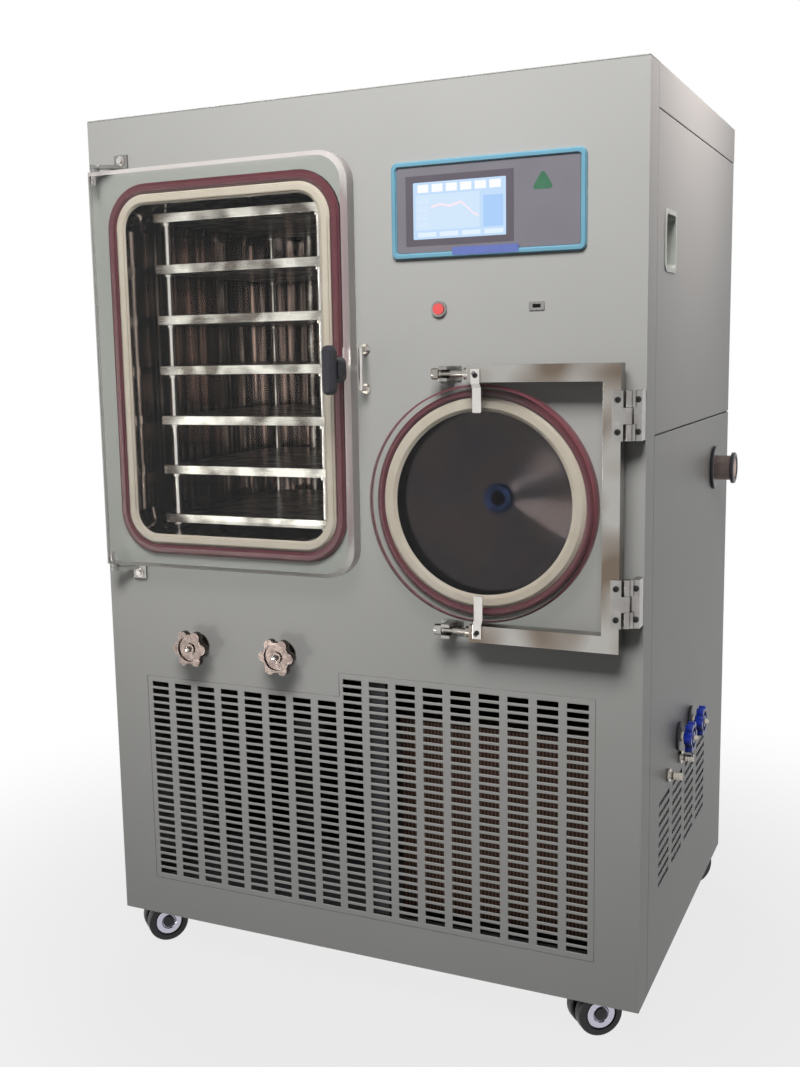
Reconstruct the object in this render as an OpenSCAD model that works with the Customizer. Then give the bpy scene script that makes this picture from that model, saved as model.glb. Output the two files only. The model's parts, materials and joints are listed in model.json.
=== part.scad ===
// Floor-standing pilot freeze dryer: sheet-metal cabinet on casters, square shelf chamber with a
// hinged acrylic door, round cold-trap chamber with a yoke-hung acrylic door, control panel, front
// vent grille, service valves and a vacuum port.
// x runs right from the cabinet's left face, y runs back from its front face, z is up from the floor.

/* [Cabinet] */
// Width of the cabinet
cab_w = 960; // [940:1:1040]
// Depth of the cabinet, front face to rear face
cab_d = 725; // [710:1:800]
// Height of the panels, lower edge to top
cab_h = 1420; // [1400:1:1500]
// Thickness of the sheet-metal panels
sheet_t = 2; // [1.5:0.1:2.6]
// Gap between neighbouring panels
panel_gap = 2; // [1:0.5:4]
// Depth of the front panel's return along each side
side_return = 56; // [46:1:70]
// Depth of the top cover's turned-down edge
top_return = 62; // [50:1:80]
// Width of the turned-in lip round each panel
lip_w = 12; // [8:1:16]
// Height of the seam between the two right-hand panels, above the panels' lower edge
side_seam_z = 889; // [860:1:920]
// How far the panels hang below the floor plate
skirt_drop = 28; // [20:1:28]

/* [Frame] */
// Width of the square tubes of the frame
tube_w = 30; // [25:1:34]
// Thickness of the floor plate
floor_t = 4; // [3:0.5:6]
// Gap between the chamber's bands and the middle posts
mid_post_gap = 36; // [32:1:44]

/* [Front vent grille] */
// Width of one slot
slot_w = 34.3; // [28:0.1:38]
// Height of one slot
slot_h = 8.8; // [5:0.1:9.4]
// Distance between slot rows
slot_pitch_z = 13.6; // [12:0.1:14]
// Columns of slots in the low part on the left
low_columns = 8; // [6:1:8]
// Columns of slots in the high part on the right
high_columns = 9; // [6:1:9]
// Rows of slots in the low part
low_rows = 27; // [20:1:28]
// Rows of slots in the high part
high_rows = 30; // [24:1:31]
// Distance of the outermost columns from the cabinet's sides
grille_x = 81; // [76:1:86]
// Lower edge of the lowest row, above the panels' lower edge
grille_z = 80; // [70:1:90]
// Plain margin round the slots
grille_margin = 10; // [7:0.5:13]
// Width of the backing strip behind the cut-out's edge
grille_lap = 6; // [4:0.5:8]
// Clearance round the grille in its cut-out
grille_clear = 0.5; // [0.3:0.1:1]

/* [Drying chamber] */
// Distance of the chamber's seals from the cabinet's left face
chamber_left = 46; // [42:1:50]
// Distance of the chamber's seals from the cabinet's top
chamber_top = 114; // [105:1:125]
// Height of the chamber's seals above the panels' lower edge
chamber_bottom = 680; // [670:1:690]
// Distance between the seals of the chamber and those of the trap
seal_spacing = 56; // [52:1:64]
// Corner radius of the chamber opening
chamber_r = 40; // [30:1:48]
// Depth of the chamber behind its flange
chamber_depth = 480; // [460:1:520]
// Thickness of the vessel walls
vessel_t = 5; // [4:0.5:7]
// Thickness of the vessels' rear ends
vessel_back_t = 8; // [6:0.5:12]
// Height of the stiffening bands over the chamber
band_h = 14; // [10:1:18]
// Thickness of the stiffening bands
band_t = 8; // [6:0.5:10]
// Thickness of the flanges
flange_t = 12; // [10:0.5:14]
// How far the flanges stand out of the front panel
flange_proud = 2; // [1.5:0.1:2.5]
// Clearance between a flange and the front panel's cut-out
flange_clear = 1; // [0.5:0.1:1.5]
// Width of the light inner seal of the chamber
inner_seal_w = 18; // [15:0.5:20]
// Width of the dark outer seal of the chamber
outer_seal_w = 16.5; // [14:0.5:17]
// Gap between the two seals
seal_gap = 0.5; // [0.3:0.1:1]

/* [Shelves] */
// Number of shelves
shelf_count = 7; // [5:1:7]
// Thickness of a shelf
shelf_t = 15; // [12:0.5:17]
// Room between the shelves and the chamber's sides
shelf_side_gap = 20.5; // [18:0.5:28]
// Room behind the shelves, for their manifolds
shelf_back_gap = 40; // [36:1:60]
// Front edge of the shelves, behind the front face
shelf_y = 50; // [42:1:56]
// Middle of the lowest shelf, above the chamber floor
shelf_low_z = 20; // [18:0.5:24]
// Middle of the highest shelf, below the chamber's ceiling
shelf_high_gap = 16.4; // [16:0.1:24]
// Diameter of the rack's rods
rod_d = 10; // [8:0.5:12]
// Distance of the rods from the shelf edges
rod_inset = 16; // [14:0.5:20]
// Diameter of the collars that carry the shelves
collar_d = 18; // [16:0.5:20]
// Height of the collars
collar_h = 5; // [4:0.5:7]
// Clearance of the rods in the shelves
rod_clear = 0.1; // [0.05:0.01:0.2]
// Diameter of the branch pipes of the shelves
branch_d = 14; // [12:0.5:15]
// Diameter of the two manifold pipes
manifold_d = 25; // [22:0.5:28]

/* [Chamber door] */
// How far the door reaches past the seals on the left
door_lap_left = 26; // [22:0.5:30]
// How far the door reaches past the seals on the right
door_lap_right = 21.5; // [20:0.5:24]
// How far the door reaches past the seals at the top
door_lap_top = 24; // [18:0.5:28]
// How far the door reaches past the seals at the bottom
door_lap_bottom = 21; // [18:0.5:28]
// Thickness of the acrylic door
door_t = 32; // [28:0.5:34]
// Gap between the front panel and the doors
door_gap = 8; // [7.5:0.1:9]
// Width of the bevel round the door's front face
door_bevel = 8; // [5:0.5:10]
// Radius of the door's right-hand corners
door_r = 50; // [35:1:60]
// Distance of the pivot axis from the door's left edge
pivot_inset = 10; // [9.5:0.5:12]
// Diameter of the pivot pins
pivot_d = 8; // [7:0.5:9]
// Length of each pivot pin inside the door
pivot_depth = 20; // [16:1:26]
// Running clearance of turning pins and spindles, on the radius
run_clear = 0.06; // [0.03:0.01:0.1]
// Thickness of the pivot brackets' arms
arm_t = 6; // [5:0.5:8]
// Gap between a bracket arm and the door's edge
arm_gap = 6; // [4:0.5:8]
// Distance of the brackets' feet from the door's left edge
foot_x = 35; // [32:1:40]
// Width of the brackets' feet
foot_w = 26; // [22:1:34]
// Height of the brackets' feet
foot_h = 22; // [20:1:28]
// Thickness of the brackets' feet
foot_t = 4; // [3:0.5:6]

/* [Latch] */
// Position of the latch spindle, left of the door's right edge
latch_inset = 15.5; // [15:0.1:16]
// Height of the latch spindle above the chamber's middle
latch_lift = 1; // [-3:0.5:6]
// Diameter of the spindle
spindle_d = 10; // [8:0.5:10]
// Width of the knob's oval hub
hub_w = 24; // [19:0.5:26]
// Length of the knob's oval hub
hub_l = 42; // [34:1:46]
// Height of the knob's hub
hub_h = 28; // [22:1:32]
// Length of the grip
grip_l = 76; // [68:1:92]
// Width of the grip
grip_w = 20; // [16:0.5:26]
// Thickness of the grip
grip_t = 18; // [14:0.5:20]
// Width of the bevel round the grip's front
grip_crown = 5; // [3:0.5:6]
// Reach of the tongue from the spindle
tongue_l = 36; // [34:0.5:37]
// Width of the tongue
tongue_w = 10; // [8:0.5:11]
// Thickness of the tongue
tongue_t = 3; // [2.5:0.1:3.4]
// Distance of the keeper bar from the door's edge
keeper_x = 11.5; // [10:0.5:13]
// Height of the keeper
keeper_h = 70; // [66:1:80]
// Diameter of the keeper bar
keeper_d = 8; // [7:0.5:9]
// Distance of the keeper bar's middle in front of the panel
keeper_reach = 19; // [17:0.5:22]
// Thickness of the keeper's feet
keeper_foot_t = 2; // [1.5:0.1:2.3]
// Clear distance of the tongue from the front panel
tongue_gap = 2.7; // [2.7:0.1:3.2]

/* [Cold trap] */
// Middle of the cold trap, below the chamber's middle
trap_drop = 206; // [200:1:212]
// Inside diameter of the cold trap
trap_d = 283; // [276:1:290]
// Depth of the cold trap behind its flange
trap_depth = 360; // [320:1:400]
// Width of the light inner seal
trap_inner_seal_w = 21; // [18:0.5:23]
// Width of the dark outer seal
trap_outer_seal_w = 11; // [9:0.5:13]
// Depth of the baffle's rim behind the front face
baffle_rim_y = 30; // [24:1:36]
// Depth of the baffle's middle behind the front face
baffle_mid_y = 78; // [60:1:90]
// Thickness of the baffle
baffle_t = 3; // [2:0.5:4]
// Diameter of the hole in the baffle's middle
baffle_hole_d = 24; // [18:1:28]
// Diameter of the raised ring round the baffle's hole
baffle_ring_d = 47; // [40:1:54]
// Height of the raised ring
baffle_ring_h = 5; // [3:0.5:8]
// Diameter of the coil's tube
coil_tube_d = 10; // [8:0.5:12]
// Number of turns of the coil
coil_turns = 9; // [6:1:10]
// Distance between turns
coil_pitch = 32; // [26:1:32]
// Gap between the coil and the wall
coil_gap = 12; // [9:0.5:14]
// Middle of the first turn, behind the front face
coil_y = 60; // [54:1:66]
// Diameter of the vapour duct between the chambers
duct_d = 76; // [60:1:84]
// Middle of the duct, behind the front face
duct_y = 230; // [150:1:280]
// Thickness of the duct's wall
duct_t = 3; // [2:0.5:4]
// Width of the duct's flanges round it
duct_flange_w = 17; // [14:1:22]
// Thickness of the duct's flanges
duct_flange_t = 8; // [6:0.5:12]

/* [Round door] */
// How far the acrylic disc reaches past the outer seal
disc_lap = 8; // [6:0.5:9]
// Thickness of the acrylic disc
disc_t = 22; // [18:0.5:24]
// Width of the yoke's bars
yoke_w = 26; // [24:0.5:27]
// Thickness of the yoke's bars, front to back
yoke_t = 25; // [22:0.5:26]
// Rear face of the yoke, in front of the panel
yoke_gap = 12; // [10:0.5:13]
// Clearance between the disc and the yoke's level bars
yoke_clear_z = 3.5; // [2.5:0.5:5]
// Left end of the yoke's bars, from the disc's middle
yoke_left = 14; // [12:0.5:20]
// Clearance between the disc and the yoke's upright
yoke_clear_x = 10; // [8:0.5:11]
// Diameter of the bolts at the yoke's free ends
bolt_d = 10; // [8:0.5:11]
// Diameter of the bolts' heads
bolt_head_d = 18; // [16:0.5:20]
// Length of the bolts with their heads
bolt_l = 60; // [56:1:64]
// Width of the catches that take the bolts
catch_w = 14; // [12:0.5:16]
// Clearance of the bolts in their catches
catch_clear = 1.3; // [0.8:0.1:1.8]
// Width of the clips that hold the disc
clip_w = 14; // [10:0.5:18]
// Thickness of the clips
clip_t = 3; // [2:0.1:4]
// How far the clips reach over the disc
clip_reach = 42; // [34:1:48]
// Height of each hinge
hinge_h = 72; // [64:1:78]
// Distance between the two hinges
hinge_span = 273; // [260:1:285]
// Diameter of the hinge barrels
barrel_d = 12; // [11:0.5:13]
// Diameter of the hinge pins
hinge_pin_d = 6; // [5:0.5:7]
// Distance of the hinge axis in front of the panel
hinge_reach = 30; // [29:0.5:31]
// Distance of the hinge axis from the cabinet's right face
hinge_inset = 19; // [18:0.5:20]
// Distance of the hinge axis from the yoke's right side
hinge_side = 9; // [8.5:0.5:10]
// Thickness of the moving leaves
leaf_t = 3; // [2.5:0.1:3.5]

/* [Control panel] */
// Width of the control panel
panel_w = 305; // [290:1:320]
// Height of the control panel
panel_h = 145; // [135:1:155]
// Right edge of the control panel, from the cabinet's right face
panel_right = 88; // [76:1:100]
// Upper edge of the control panel, below the cabinet's top
panel_top = 116; // [106:1:126]
// Width of the coloured bezel
bezel_w = 9; // [7:0.5:12]
// Thickness of the bezel
bezel_t = 6; // [4:0.5:8]
// Corner radius of the bezel
bezel_r = 10; // [6:0.5:12]
// Thickness of the overlay plate
overlay_t = 3; // [2:0.5:3.5]
// Width of the touchscreen
screen_w = 148; // [140:1:156]
// Height of the touchscreen
screen_h = 84; // [80:1:90]
// Left edge of the screen, from the control panel's left edge
screen_x = 36; // [30:1:44]
// Top edge of the screen, below the control panel's top edge
screen_top = 32; // [26:1:36]
// Depth of the touchscreen's housing
screen_depth = 38; // [30:1:45]

/* [Button and socket] */
// Diameter of the button's bezel
button_bezel_d = 24; // [22:0.5:27]
// Diameter of the button
button_d = 17; // [15:0.5:18]
// Travel of the button
button_travel = 3; // [2:0.5:3.5]
// Button middle, from the control panel's left edge
button_in = 76; // [68:1:84]
// Button middle, below the control panel
button_drop = 76; // [70:1:84]
// Width of the data socket
socket_w = 24; // [22:0.5:28]
// Height of the data socket
socket_h = 13; // [12:0.5:15]
// Socket middle, from the control panel's right edge
socket_in = 75; // [68:1:84]

/* [Front valves] */
// Left valve, from the cabinet's left face
vent_x = 184; // [176:1:190]
// Right valve, from the cabinet's left face
drain_x = 355; // [348:1:362]
// Height of both valves, above the panels' lower edge
valve_z = 518; // [512:1:524]
// Diameter of the front handwheels
wheel_d = 66; // [58:1:72]
// Thickness of the handwheels
wheel_t = 12; // [10:0.5:14]
// Distance from the panel to a handwheel's back
wheel_stand = 22; // [20:0.5:26]
// Diameter of the valve stems
stem_d = 10; // [8:0.5:12]

/* [Right side] */
// Middle of the vacuum port, behind the front face
port_y = 567; // [555:1:575]
// Middle of the vacuum port, above the panels' lower edge
port_z = 793; // [785:1:800]
// Bore of the vacuum port
port_bore = 41; // [38:0.5:42]
// Outside diameter of the port's tube
port_tube_d = 45; // [44:0.5:46]
// Diameter of the port's end flange
port_flange_d = 55; // [52:0.5:60]
// How far the port stands out
port_reach = 38; // [34:1:44]
// Diameter of the port's grommet
grommet_d = 79; // [72:1:84]
// Front side valve, behind the front face
side_valve_y = 280; // [270:1:285]
// Distance between the two side valves
side_valve_pitch = 100; // [92:1:110]
// Height of the side valves, above the panels' lower edge
side_valve_z = 362; // [352:1:372]
// Diameter of the side handwheels
side_wheel_d = 54; // [48:1:58]
// Distance from the side panel to a side handwheel's back
side_wheel_stand = 14; // [12:0.5:18]
// Diameter of the valve roses
rose_d = 50; // [44:1:52]
// Height of the two hose outlets, above the panels' lower edge
outlet_z = 322; // [314:1:328]
// Diameter of the hose outlets
outlet_d = 12; // [10:0.5:14]
// Bore of the hose outlets
outlet_bore = 8; // [6:0.5:8.5]
// Width of the recessed pull
pull_w = 80; // [70:1:90]
// Height of the recessed pull
pull_h = 92; // [84:1:100]
// Depth of the recessed pull
pull_depth = 18; // [14:1:22]
// Middle of the pull, behind the front face
pull_y = 148; // [140:1:160]
// Middle of the pull, below the cabinet's top
pull_drop = 244; // [230:1:256]
// Thickness of the pull's walls
pull_t = 2; // [1.5:0.1:2.5]
// Columns of louvre openings in the side panel
louvre_columns = 4; // [3:1:5]
// Rows of louvre openings in the side panel
louvre_rows = 9; // [6:1:9]
// Front edge of the side louvres, behind the front face
louvre_y = 130; // [110:1:140]
// Lower edge of the side louvres, above the panels' lower edge
louvre_z = 150; // [140:1:156]
// Columns of louvre openings in the rear panel
rear_columns = 6; // [4:1:6]
// Rows of louvre openings in the rear panel
rear_rows = 12; // [8:1:24]
// Lower edge of the rear louvres, above the panels' lower edge
rear_louvre_z = 60; // [50:1:80]
// Length of one louvre opening
louvre_l = 80; // [60:1:84]
// Height of one louvre opening
louvre_h = 8; // [6:0.5:9]
// Gap between louvre columns
louvre_gap = 26; // [20:1:30]
// Distance between louvre rows
louvre_pitch = 17; // [15:0.5:18]

/* [Machinery] */
// Diameter of a compressor's can
comp_d = 180; // [160:1:190]
// Height of a compressor, floor plate to dome
comp_h = 290; // [260:1:320]
// Middle of the first compressor, from the cabinet's left face
comp_x = 180; // [150:1:190]
// Distance between the compressors
comp_pitch = 210; // [205:1:215]
// Middle of the compressors, from the cabinet's rear face
comp_back = 295; // [240:1:300]
// Width of the finned coil
fin_w = 330; // [300:1:340]
// Depth of the finned coil
fin_d = 44; // [30:1:50]
// Height of the finned coil
fin_h = 330; // [300:1:340]
// Distance of the finned coil from the middle posts
fin_gap = 7; // [5:1:12]
// Front of the finned coil, behind the front face
fin_y = 62; // [58:1:70]
// Diameter of the fan's opening
fan_d = 300; // [260:1:310]
// Width and height of the shroud plate
shroud_w = 340; // [330:1:350]
// Number of fan blades
fan_blades = 5; // [4:1:7]
// Width of the fluid tank
tank_w = 290; // [240:1:300]
// Depth of the fluid tank
tank_d = 200; // [160:1:220]
// Height of the fluid tank
tank_h = 260; // [220:1:300]
// Distance of the tank from the middle posts
tank_gap = 36; // [30:1:50]
// Distance of the tank from the cabinet's rear face
tank_back = 95; // [60:1:110]
// Diameter of the tank's pump
pump_d = 110; // [90:1:120]
// Width of the electrical box
box_w = 340; // [300:1:345]
// Depth of the electrical box
box_d = 170; // [140:1:180]
// Height of the electrical box
box_h = 330; // [280:1:340]
// Distance of the electrical box from the middle posts
box_gap = 41; // [36:1:44]
// Distance of the electrical box from the upper rails
box_drop = 50; // [30:1:60]
// Diameter of the cable gland's body
gland_d = 24; // [20:1:26]
// Middle of the gland, from the cabinet's left face
gland_x = 120; // [100:1:130]
// Middle of the gland, above the panels' lower edge
gland_lift = 105; // [90:1:120]
// How far the gland stands out of the rear panel
gland_reach = 24; // [20:1:30]

/* [Casters] */
// Diameter of the caster wheels
caster_d = 75; // [70:1:76]
// Width of one wheel of a twin caster
tread_w = 20; // [16:0.5:22]
// Thickness of the web between the twin wheels
web_t = 12; // [10:0.5:14]
// Height of the casters, floor to floor plate
caster_h = 98; // [94:1:104]
// Trail, from the swivel axis to the axle
trail = 22; // [18:1:24]
// Distance of the swivel axes from the cabinet's sides
caster_in_x = 66; // [64:1:80]
// Distance of the front swivel axes from the front face
caster_front_y = 66; // [64:1:90]
// Distance of the rear swivel axes from the rear face
caster_rear_y = 56; // [54:1:90]
// Width of the casters' top plates
caster_plate_w = 64; // [56:1:72]
// Thickness of the casters' top plates
caster_plate_t = 4; // [3:0.5:5]
// Diameter of the raceways
race_d = 44; // [40:1:50]
// Diameter of the axles
axle_d = 8; // [7:0.5:9]
// Way that each caster faces: front left, front right, rear left, rear right
caster_turns = [48, 40, 120, 230]; // [0:1:359]

/* [Hidden] */
$fn = 64;

// Small gap between pieces that touch or move past each other
gap = 0.3;
// A little extra length that carries a cut clear of a face
cut = 1;
// Lower edge of the panels above the floor, and the two ends of the frame
base_z = caster_h - skirt_drop;
top_z = base_z + cab_h;
frame_z = caster_h;
// The panels lie this far from the frame; the front posts stand behind the front panel's lip
skin = sheet_t + gap;
frame_y = skin + lip_w;
// Front faces of the doors, and the furthest reach of the whole part on each side
door_front = door_gap + door_t;
grip_back = door_front + hub_h;
grip_front = grip_back + grip_t;
// Distance from the chamber door's back to the seal, and the seal's thickness
seal_t = door_gap - flange_proud - gap;
// Diameters of the trap's seals and of the disc that closes on them
trap_inner_seal_d = trap_d + 2 * trap_inner_seal_w;
trap_outer_seal_d = trap_inner_seal_d + 2 * (seal_gap + trap_outer_seal_w);
disc_d = trap_outer_seal_d + 2 * disc_lap;
// From the right face inwards come the hinge axis, the yoke and the trap's middle
hinge_x = cab_w - hinge_inset;
yoke_x2 = hinge_x - hinge_side;
trap_cx = yoke_x2 - yoke_w - yoke_clear_x - disc_d / 2;
// The chamber takes the width and height that are left
seal_band = inner_seal_w + seal_gap + outer_seal_w;
chamber_w = trap_cx - trap_outer_seal_d / 2 - seal_spacing - chamber_left - 2 * seal_band;
chamber_h = cab_h - chamber_top - chamber_bottom - 2 * seal_band;
chamber_cx = chamber_left + seal_band + chamber_w / 2;
chamber_z = base_z + chamber_bottom + seal_band + chamber_h / 2;
trap_z = chamber_z - trap_drop;
mid_post_x = chamber_cx + chamber_w / 2 + vessel_t + band_h + mid_post_gap;
// Edges of the chamber door
door_x = chamber_left - door_lap_left;
door_w = chamber_w + 2 * seal_band + door_lap_left + door_lap_right;
door_z1 = base_z + chamber_bottom - door_lap_bottom;
door_z2 = top_z - chamber_top + door_lap_top;
// Latch and keeper places
latch_x = door_x + door_w - latch_inset;
latch_h = chamber_z + latch_lift;
keep_x = door_x + door_w + keeper_x;
// Heights of the round door's hinges
hinge_zs = [trap_z - hinge_span / 2, trap_z + hinge_span / 2];
// Control panel, button and socket
panel_x = cab_w - panel_right - panel_w;
panel_z = top_z - panel_top - panel_h;
button_x = panel_x + button_in;
button_h = panel_z - button_drop;
socket_x = panel_x + panel_w - socket_in;
// Pivot axis of the chamber door
pivot_x = door_x + pivot_inset;
pivot_y = -(door_gap + door_t / 2);
// Place of each caster's swivel axis
caster_ends = [[caster_in_x, caster_front_y], [cab_w - caster_in_x, caster_front_y],
    [caster_in_x, cab_d - caster_rear_y], [cab_w - caster_in_x, cab_d - caster_rear_y]];

// Puts the part's origin under the middle of its outline, on the floor
module placed() {
    translate([-(cab_w + port_reach) / 2, -(cab_d + gland_reach - grip_front) / 2, 0]) children();
}

// A plate facing the front: a shape drawn in x and z, from depth y0 back by t
module facing(y0, t) {
    translate([0, y0 + t, 0]) rotate([90, 0, 0]) linear_extrude(t) children();
}

// A plate facing the side: a shape drawn in y and z, from x0 right by t
module siding(x0, t) {
    translate([x0, 0, 0]) rotate([90, 0, 90]) linear_extrude(t) children();
}

// A cylinder along y, and one along x
module along_y(x, y0, z, d, l) {
    translate([x, y0, z]) rotate([-90, 0, 0]) cylinder(d = d, h = l);
}
module along_x(x0, y, z, d, l) {
    translate([x0, y, z]) rotate([0, 90, 0]) cylinder(d = d, h = l);
}

// Rectangle with round corners, about its own middle
module rounded(w, h, r) {
    square([w - 2 * r, h], center = true);
    square([w, h - 2 * r], center = true);
    for (sx = [-1, 1], sz = [-1, 1]) translate([sx * (w / 2 - r), sz * (h / 2 - r)]) circle(r);
}

// The chamber's opening grown by a margin
module chamber_outline(grow) {
    translate([chamber_cx, chamber_z]) rounded(chamber_w + 2 * grow, chamber_h + 2 * grow, chamber_r + grow);
}

// ---------------------------------------------------------------- frame and panels

// One square tube of the frame, from a corner
module tube(at, size) {
    translate(at) cube(size);
}

module base_frame() {
    x1 = lip_w + gap;
    x2 = cab_w - lip_w - gap;
    y1 = frame_y;
    y2 = cab_d - skin;
    post_top = top_z - skin;
    rail_z = chamber_z - chamber_h / 2 - vessel_t - gap - tube_w;
    cradle_z = trap_z - trap_d / 2 - vessel_t - gap - tube_w;
    color("dimgray") {
        tube([x1, skin, frame_z], [x2 - x1, y2 - skin, floor_t]);
        for (y = [y1, y2 - tube_w]) {
            for (x = [x1, mid_post_x, x2 - tube_w])
                tube([x, y, frame_z + floor_t], [tube_w, tube_w, post_top - frame_z - floor_t]);
            for (z = [frame_z + floor_t, post_top - tube_w])
                tube([x1, y, z], [x2 - x1, tube_w, tube_w]);
            tube([x1, y, rail_z], [mid_post_x - x1, tube_w, tube_w]);
            tube([mid_post_x, y, cradle_z], [x2 - mid_post_x, tube_w, tube_w]);
        }
        for (x = [x1, x2 - tube_w], z = [frame_z + floor_t, post_top - tube_w])
            tube([x, y1, z], [tube_w, y2 - y1, tube_w]);
        for (side = [-1, 1]) {
            tube([chamber_cx + side * chamber_w * 0.3 - tube_w / 2, y1, rail_z], [tube_w, y2 - y1, tube_w]);
            tube([trap_cx + side * trap_d / 4 - tube_w / 2, y1, cradle_z], [tube_w, y2 - y1, tube_w]);
        }
    }
}

// Outline of the stepped grille, grown by a margin
columns = low_columns + high_columns;
slot_pitch_x = (cab_w - 2 * grille_x - slot_w) / (columns - 1);

module grille_outline(grow) {
    x1 = grille_x - grille_margin - grow;
    step = grille_x + low_columns * slot_pitch_x - (slot_pitch_x - slot_w) / 2 - grow;
    x2 = cab_w - grille_x + grille_margin + grow;
    z1 = base_z + grille_z - grille_margin - grow;
    low = base_z + grille_z + (low_rows - 1) * slot_pitch_z + slot_h + grille_margin + grow;
    high = base_z + grille_z + (high_rows - 1) * slot_pitch_z + slot_h + grille_margin + grow;
    polygon([[x1, z1], [x2, z1], [x2, high], [step, high], [step, low], [x1, low]]);
}

module front_panel() {
    face_top = top_z - skin;
    color("silver") difference() {
        union() {
            facing(0, sheet_t) translate([0, base_z]) square([cab_w, face_top - base_z]);
            for (x = [0, cab_w - sheet_t])
                translate([x, 0, base_z]) cube([sheet_t, side_return, face_top - base_z]);
            for (x = [0, cab_w - lip_w])
                translate([x, side_return - sheet_t, base_z]) cube([lip_w, sheet_t, face_top - base_z]);
            for (z = [base_z, face_top - sheet_t])
                translate([0, 0, z]) cube([cab_w, lip_w, sheet_t]);
            // Backing strip that the grille rests against
            facing(sheet_t, sheet_t) difference() {
                grille_outline(grille_lap);
                grille_outline(-grille_lap);
            }
        }
        facing(-cut, sheet_t + cut) grille_outline(grille_clear);
        facing(-cut, sheet_t + 2 * cut)
            chamber_outline(seal_band + flange_clear);
        along_y(trap_cx, -cut, trap_z, trap_outer_seal_d + 2 * flange_clear, sheet_t + 2 * cut);
        facing(-cut, sheet_t + 2 * cut) screen_place() rounded(screen_w + 2, screen_h + 2, 3);
        along_y(button_x, -cut, button_h, button_bezel_d - 6 + 2 * gap, sheet_t + 2 * cut);
        facing(-cut, sheet_t + 2 * cut) translate([socket_x, button_h])
            square([socket_w - 6, socket_h - 4], center = true);
        for (x = [vent_x, drain_x])
            along_y(x, -cut, base_z + valve_z, stem_d + 10, sheet_t + 2 * cut);
    }
}

module vent_grille() {
    color("darkgray") facing(0, sheet_t) difference() {
        grille_outline(0);
        for (i = [0 : columns - 1])
            for (j = [0 : (i < low_columns ? low_rows : high_rows) - 1])
                translate([grille_x + i * slot_pitch_x, base_z + grille_z + j * slot_pitch_z])
                    square([slot_w, slot_h]);
    }
}

// A side panel in y and z with its turned-in lips, right or left
module side_skin(right, z1, z2) {
    y1 = side_return + panel_gap;
    y2 = cab_d - sheet_t - panel_gap;
    x_face = right ? cab_w - sheet_t : 0;
    x_lip = right ? cab_w - lip_w : 0;
    translate([x_face, y1, z1]) cube([sheet_t, y2 - y1, z2 - z1]);
    for (y = [y1, y2 - sheet_t]) translate([x_lip, y, z1]) cube([lip_w, sheet_t, z2 - z1]);
    for (z = [z1, z2 - sheet_t]) translate([x_lip, y1, z]) cube([lip_w, y2 - y1, sheet_t]);
}

// A field of louvre openings, drawn from its lower corner on
module louvres(columns, rows) {
    for (i = [0 : columns - 1], j = [0 : rows - 1])
        translate([i * (louvre_l + louvre_gap), j * louvre_pitch]) square([louvre_l, louvre_h]);
}

module left_panel() {
    color("silver") side_skin(false, base_z, top_z - top_return - panel_gap);
}

module right_upper_panel() {
    color("silver") difference() {
        side_skin(true, base_z + side_seam_z + panel_gap / 2, top_z - top_return - panel_gap);
        siding(cab_w - sheet_t - cut, sheet_t + 2 * cut) translate([pull_y, pull_z])
            rounded(pull_w - 8, pull_h - 8, 10);
    }
}

module right_lower_panel() {
    color("silver") difference() {
        side_skin(true, base_z, base_z + side_seam_z - panel_gap / 2);
        siding(cab_w - sheet_t - cut, sheet_t + 2 * cut) translate([louvre_y, base_z + louvre_z])
            louvres(louvre_columns, louvre_rows);
        along_x(cab_w - sheet_t - cut, port_y, base_z + port_z, port_tube_d + 6, sheet_t + 2 * cut);
        for (i = [0, 1]) {
            along_x(cab_w - sheet_t - cut, side_valve_y + i * side_valve_pitch, base_z + side_valve_z,
                stem_d + 8, sheet_t + 2 * cut);
            along_x(cab_w - sheet_t - cut, outlet_y(i), base_z + outlet_z, outlet_d + 4, sheet_t + 2 * cut);
        }
    }
}

module rear_panel() {
    x1 = sheet_t + panel_gap;
    z2 = top_z - top_return - panel_gap;
    field = rear_columns * (louvre_l + louvre_gap) - louvre_gap;
    color("silver") difference() {
        translate([x1, cab_d - sheet_t, base_z]) cube([cab_w - 2 * x1, sheet_t, z2 - base_z]);
        facing(cab_d - sheet_t - cut, sheet_t + 2 * cut)
            translate([(cab_w - field) / 2, base_z + rear_louvre_z]) louvres(rear_columns, rear_rows);
        along_y(gland_x, cab_d - sheet_t - cut, gland_z, gland_d + 1, sheet_t + 2 * cut);
    }
}

module top_cover() {
    y1 = side_return + panel_gap;
    color("silver") {
        translate([0, 0, top_z - sheet_t]) cube([cab_w, cab_d, sheet_t]);
        for (x = [0, cab_w - sheet_t])
            translate([x, y1, top_z - top_return]) cube([sheet_t, cab_d - y1, top_return]);
        translate([0, cab_d - sheet_t, top_z - top_return]) cube([cab_w, sheet_t, top_return]);
    }
}

// Cup that the upper side panel is pulled off by
pull_z = top_z - pull_drop;

module side_pull() {
    color("gray") difference() {
        union() {
            siding(cab_w + gap, 1.5) translate([pull_y, pull_z]) rounded(pull_w, pull_h, 12);
            siding(cab_w - pull_depth, pull_depth + 1) translate([pull_y, pull_z])
                rounded(pull_w - 10, pull_h - 10, 9);
        }
        siding(cab_w - pull_depth + pull_t, pull_depth + 3) translate([pull_y, pull_z])
            rounded(pull_w - 10 - 2 * pull_t, pull_h - 10 - 2 * pull_t, 7);
    }
}

// ---------------------------------------------------------------- drying chamber

// Rear end of the chamber's clear depth, its floor, and where the two halves of the duct meet
chamber_back = flange_t - flange_proud + chamber_depth;
chamber_floor = chamber_z - chamber_h / 2;
duct_x = mid_post_x + 6;

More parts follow.
